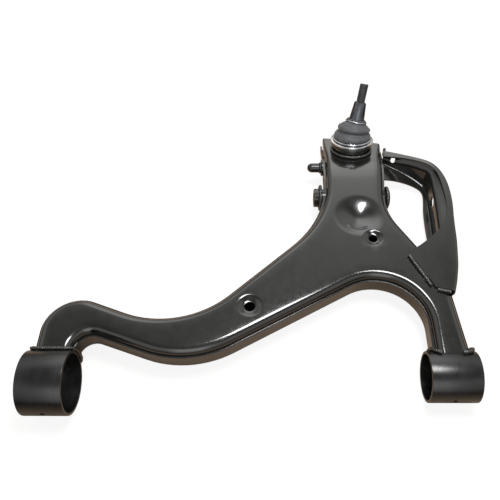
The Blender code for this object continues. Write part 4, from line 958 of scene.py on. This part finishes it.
BEAD_TREE, given = named_tree("weld_bead", (
    ("Bead Radius", "NodeSocketFloat"), ("Ripple Spacing", "NodeSocketFloat"), ("Ripple Depth",
                                                                                "NodeSocketFloat"),
    ("Unevenness", "NodeSocketFloat"), ("Seed", "NodeSocketFloat"), ("Finish", "NodeSocketMaterial")))
path = add_node(BEAD_TREE, "GeometryNodeMeshToCurve", {"Mesh": given["Geometry"]})
even = add_node(BEAD_TREE, "GeometryNodeResampleCurve", {"Curve": path.outputs["Curve"], "Length": 0.45 * MM},
                mode="LENGTH")
along = add_node(BEAD_TREE, "GeometryNodeSplineParameter")
turns = add_node(BEAD_TREE, "ShaderNodeMath", {0: along.outputs["Length"], 1: given["Ripple Spacing"]},
                 operation="DIVIDE")
phase = add_node(BEAD_TREE, "ShaderNodeMath", {0: turns.outputs[0], 1: math.pi}, operation="MULTIPLY")
wave = add_node(BEAD_TREE, "ShaderNodeMath", {0: phase.outputs[0]}, operation="SINE")
lump = add_node(BEAD_TREE, "ShaderNodeMath", {0: wave.outputs[0]}, operation="ABSOLUTE")
ripple = add_node(BEAD_TREE, "ShaderNodeMath", {0: lump.outputs[0], 1: given["Ripple Depth"],
                                                2: given["Bead Radius"]}, operation="MULTIPLY_ADD")
sized = add_node(BEAD_TREE, "GeometryNodeSetCurveRadius", {"Curve": even.outputs["Curve"],
                                                           "Radius": ripple.outputs[0]})
section = add_node(BEAD_TREE, "GeometryNodeCurvePrimitiveCircle", {"Resolution": 14, "Radius": 1.0})
swept = add_node(BEAD_TREE, "GeometryNodeCurveToMesh", {"Curve": sized.outputs["Curve"],
                                                        "Profile Curve": section.outputs["Curve"],
                                                        "Fill Caps": True})
if "Scale" in swept.inputs:
    BEAD_TREE.links.new(ripple.outputs[0], swept.inputs["Scale"])
unevenness = add_node(BEAD_TREE, "ShaderNodeTexNoise", {"Scale": 260.0, "Detail": 2.0, "W": given["Seed"]},
                      noise_dimensions="4D")
centred = add_node(BEAD_TREE, "ShaderNodeMath", {0: unevenness.outputs["Fac"], 1: 0.5}, operation="SUBTRACT")
amount = add_node(BEAD_TREE, "ShaderNodeMath", {0: centred.outputs[0], 1: given["Unevenness"]},
                  operation="MULTIPLY")
outwards = add_node(BEAD_TREE, "GeometryNodeInputNormal")
push = add_node(BEAD_TREE, "ShaderNodeVectorMath", {0: outwards.outputs["Normal"], 3: amount.outputs[0]},
                operation="SCALE")
rough = add_node(BEAD_TREE, "GeometryNodeSetPosition", {"Geometry": swept.outputs["Mesh"],
                                                        "Offset": push.outputs["Vector"]})
solid = add_node(BEAD_TREE, "GeometryNodeRealizeInstances", {"Geometry": rough.outputs["Geometry"]})
painted = add_node(BEAD_TREE, "GeometryNodeSetMaterial", {"Geometry": solid.outputs["Geometry"],
                                                          "Material": given["Finish"]})
add_node(BEAD_TREE, "NodeGroupOutput", {"Geometry": painted.outputs["Geometry"]})


def bead(node, points, closed=False, radius=WELD_R, seed=1.0):
    """Weld bead along the points, in place of the CAD node."""
    line = bmesh.new()
    verts = [line.verts.new(point) for point in points]
    for first, second in zip(verts, verts[1:] + (verts[:1] if closed else [])):
        line.edges.new((first, second))
    obj = grown(raw_piece(node + "_bead", line), BEAD_TREE,
                {"Bead Radius": 0.86 * radius, "Ripple Spacing": 2.6 * MM, "Ripple Depth": 0.16 * radius,
                 "Unevenness": 1.3 * MM, "Seed": seed, "Finish": WELD_COAT})
    obj.data.transform(Matrix.Translation(LAYOUT))
    obj.data.shade_smooth()
    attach(obj, "arm")
    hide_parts(node)


def leg_section(width):
    """Points round a leg's section with room for a bead, clockwise from the middle of the bottom."""
    stand = WELD_R + GAP
    radius = BOTTOM_BEND + stand
    half_w = width / 2 + stand - radius
    half_h = (ARM_TOP - ARM_BOTTOM) / 2 + stand - radius
    middle = (ARM_TOP + ARM_BOTTOM) / 2
    points = [Vector((0.0, middle - half_h - radius))]
    for x, z, start in ((-half_w, -half_h, 180.0), (-half_w, half_h, 90.0), (half_w, half_h, 0.0),
                        (half_w, -half_h, -90.0)):
        for step in range(7):
            angle = math.radians(start + 90.0 - 15.0 * step)
            points.append(Vector((x + radius * math.cos(angle), middle + z + radius * math.sin(angle))))
    fine = []
    for first, second in zip(points, points[1:] + points[:1]):
        parts = max(1, round((second - first).length / (2.5 * MM)))
        fine.extend(first.lerp(second, k / parts) for k in range(parts))
    return fine


def sleeve_bead(node, x, y, radius, width, keep, seed):
    reach = radius + WELD_R + GAP
    points = leg_section(width)
    chosen = [p for p in points if keep(p.x)]
    bead(node, [(x + p.x, y + math.sqrt(reach ** 2 - (p.y - radius) ** 2), p.y) for p in chosen],
         len(chosen) == len(points), seed=seed)


front_outer_x = wall_x(FRONT_SETBACK + 22.0 * MM, 1)
front_inner_x = FRONT_LEG_X - FRONT_LEG_W / 2
front_middle = (front_inner_x + front_outer_x) / 2
front_width = front_outer_x - front_inner_x
sleeve_bead("weld_rear_sleeve", REAR_X, REAR_SETBACK, REAR_R, REAR_LEG_W, lambda x: True, 1.0)
sleeve_bead("weld_front_sleeve_inner", front_middle, FRONT_SETBACK, FRONT_R, front_width,
            lambda x: x < -15.0 * MM, 2.0)
sleeve_bead("weld_front_sleeve_outer", front_middle, FRONT_SETBACK, FRONT_R, front_width,
            lambda x: x > 10.0 * MM, 3.0)
seam_start = Vector((222.5, 188.0, 0.0)) * MM
seam_end = Vector((250.5, 131.0, 0.0)) * MM
seam_out = Vector((seam_end.y - seam_start.y, seam_start.x - seam_end.x, 0.0)).normalized()
seam_lift = Vector((0.0, 0.0, ARM_TOP + WELD_R + GAP)) + seam_out * (WELD_R + 1.2 * MM)
bead("weld_gusset_seam", [seam_start.lerp(seam_end, 0.05 + 0.88 * k / 40) + seam_lift for k in range(41)],
     seed=4.0)
end_start = Vector((253.0 * MM, 130.3 * MM - WELD_R - 3 * GAP, ARM_TOP + WELD_R + GAP))
bead("weld_gusset_end", [end_start + Vector((2.2, -0.53, 0.0)) * MM * k for k in range(9)], seed=5.0)
outer_weld_y = 410.0 * MM + WELD_R + 2 * GAP
outer_weld_x = wall_x(outer_weld_y + WELD_R, 1) + WELD_R + GAP
bead("weld_bracket_outer", [(outer_weld_x, outer_weld_y, MM * (25.0 + 3.0 * k)) for k in range(6)], seed=6.0)


def ring_points(centre, axis, radius, count):
    turn = axis_frame(centre, axis)
    return [turn @ Vector((radius * math.cos(a), radius * math.sin(a), 0.0))
            for a in (math.tau * k / count for k in range(count))]


arm_plane = Vector((BALL.x, BALL.y, ARM_TOP - droop(BALL.y)))
plane_height = (arm_plane - BALL).dot(HOUSING_AXIS)
bead("weld_carrier", ring_points(BALL + HOUSING_AXIS * (plane_height + WELD_R + 2 * GAP), HOUSING_AXIS,
                                 CARRIER_R + WELD_R + GAP, 90), True, seed=7.0)
bead("weld_nut", ring_points(Vector((NUT_FACE - WELD_R - GAP, BOLT.y, BOLT.z)), (1, 0, 0),
                             NUT_ACROSS / 2 + WELD_R + GAP, 60), True, seed=8.0)
tube_weld_x = wall_reach(BOLT.y, TUBE_R + 2 * WELD_R, 1) + WELD_R + GAP
bead("weld_tube", ring_points(Vector((tube_weld_x, BOLT.y, BOLT.z)), (1, 0, 0), TUBE_R + WELD_R + GAP, 60),
     True, seed=9.0)

for cutter in shell_cutters + bracket_cutters:
    bpy.data.objects.remove(cutter)

# ---------------------------------------------------------------- studio
# Pale floor under a sky that is bright at middle heights and dark overhead, brightest along the middle, with one
# soft panel above. The light is set for this camera, so the flat top burns out when seen from straight above.
world = bpy.data.worlds.new("soft_studio")
bpy.context.scene.world = world
world.use_nodes = True
world.node_tree.nodes.clear()
sky = world.node_tree
ray = add_node(sky, "ShaderNodeTexCoord").outputs["Generated"]
height = add_node(sky, "ShaderNodeSeparateXYZ", {"Vector": ray})
tone = add_node(sky, "ShaderNodeValToRGB", {"Fac": height.outputs["Z"]},
                stops=((0.0, "#b4b4b3"), (0.25, "#cfcfce"), (0.5, "#fbfbfa"), (0.7, "#f6f6f5"),
                       (0.79, "#a9a9a8"), (0.88, "#757574"), (0.96, "#666664")))
sideways = add_node(sky, "ShaderNodeMath", {0: height.outputs["X"]}, operation="ABSOLUTE")
middle = add_node(sky, "ShaderNodeMapRange", {"Value": sideways.outputs[0], "From Min": 0.14,
                                              "From Max": 0.36, "To Min": 2.5, "To Max": 1.0}, interpolation_type="SMOOTHSTEP")
glow = add_node(sky, "ShaderNodeBackground", {"Color": tone.outputs["Color"], "Strength": middle.outputs[0]})
add_node(sky, "ShaderNodeOutputWorld", {"Surface": glow.outputs["Background"]})


def panel(name, place, target, width, depth, watts):
    light = bpy.data.lights.new(name, "AREA")
    light.shape = "RECTANGLE"
    light.size = width
    light.size_y = depth
    light.energy = watts
    obj = bpy.data.objects.new(name, light)
    bpy.context.scene.collection.objects.link(obj)
    obj.location = place
    obj.rotation_euler = (Vector(target) - Vector(place)).to_track_quat("-Z", "Y").to_euler()


panel("overhead_panel", (0.20, 0.10, 1.30), (0.12, 0.02, 0.0), 0.52, 0.34, 15.0)

floor_mesh = bmesh.new()
bmesh.ops.create_grid(floor_mesh, x_segments=1, y_segments=1, size=6.0)
bmesh.ops.translate(floor_mesh, vec=(0.0, 0.0, -0.5 * MM), verts=floor_mesh.verts[:])
ground = raw_piece("studio_floor", floor_mesh)
FLOOR, floor_tree, floor_place = new_finish("pale_paper_with_painted_table_light")
# The camera sees white paper. Every other ray sees a warm brown table with a painted pool of light on it: tan
# near the arm, darkening to near black away from it.
seen = add_node(floor_tree, "ShaderNodeLightPath")
paper = add_node(floor_tree, "ShaderNodeBsdfDiffuse", {"Color": linear("#6b6a69")})
lift = add_node(floor_tree, "ShaderNodeEmission", {"Color": (1.0, 1.0, 1.0, 1.0), "Strength": 0.86})
lit_paper = add_node(floor_tree, "ShaderNodeAddShader", {0: paper.outputs["BSDF"],
                                                         1: lift.outputs["Emission"]})
reach = add_node(floor_tree, "ShaderNodeVectorMath", {0: floor_place}, operation="LENGTH")
# Painted pool of light: the table is tan within 0.36 m of the middle and fades to near black by 0.6 m; the arm's
# walls show it as a painted reflection.
table_light_pool = add_node(floor_tree, "ShaderNodeValToRGB", {"Fac": reach.outputs["Value"]},
                 stops=((0.36, "#b09a86"), (0.60, "#2a2724")))
warm = add_node(floor_tree, "ShaderNodeBsdfDiffuse", {"Color": table_light_pool.outputs["Color"]})
mixed_floor = add_node(floor_tree, "ShaderNodeMixShader", {0: seen.outputs["Is Camera Ray"],
                                                           1: warm.outputs["BSDF"],
                                                           2: lit_paper.outputs["Shader"]})
add_node(floor_tree, "ShaderNodeOutputMaterial", {"Surface": mixed_floor.outputs["Shader"]})
ground.data.materials.append(FLOOR)

CAMERA_PLACE = (0.021477, -0.492648, 0.74386)
CAMERA_ROLL = math.radians(-0.04)
CAMERA_LIFT = math.radians(34.529)   # up from looking straight down
CAMERA_TURN = math.radians(0.213)
lens = bpy.data.cameras.new("studio_camera")
lens.sensor_width = 36.0
lens.lens = 41.596
lens.shift_x = -0.04814
lens.shift_y = -0.0004
lens.clip_start = 0.01
camera = bpy.data.objects.new("studio_camera", lens)
bpy.context.scene.collection.objects.link(camera)
camera.location = CAMERA_PLACE
camera.rotation_euler = (Matrix.Rotation(CAMERA_ROLL, 3, "Z") @ Matrix.Rotation(CAMERA_LIFT, 3, "X")
                         @ Matrix.Rotation(CAMERA_TURN, 3, "Z")).to_euler()
bpy.context.scene.camera = camera
bpy.context.scene.view_settings.view_transform = "Standard"
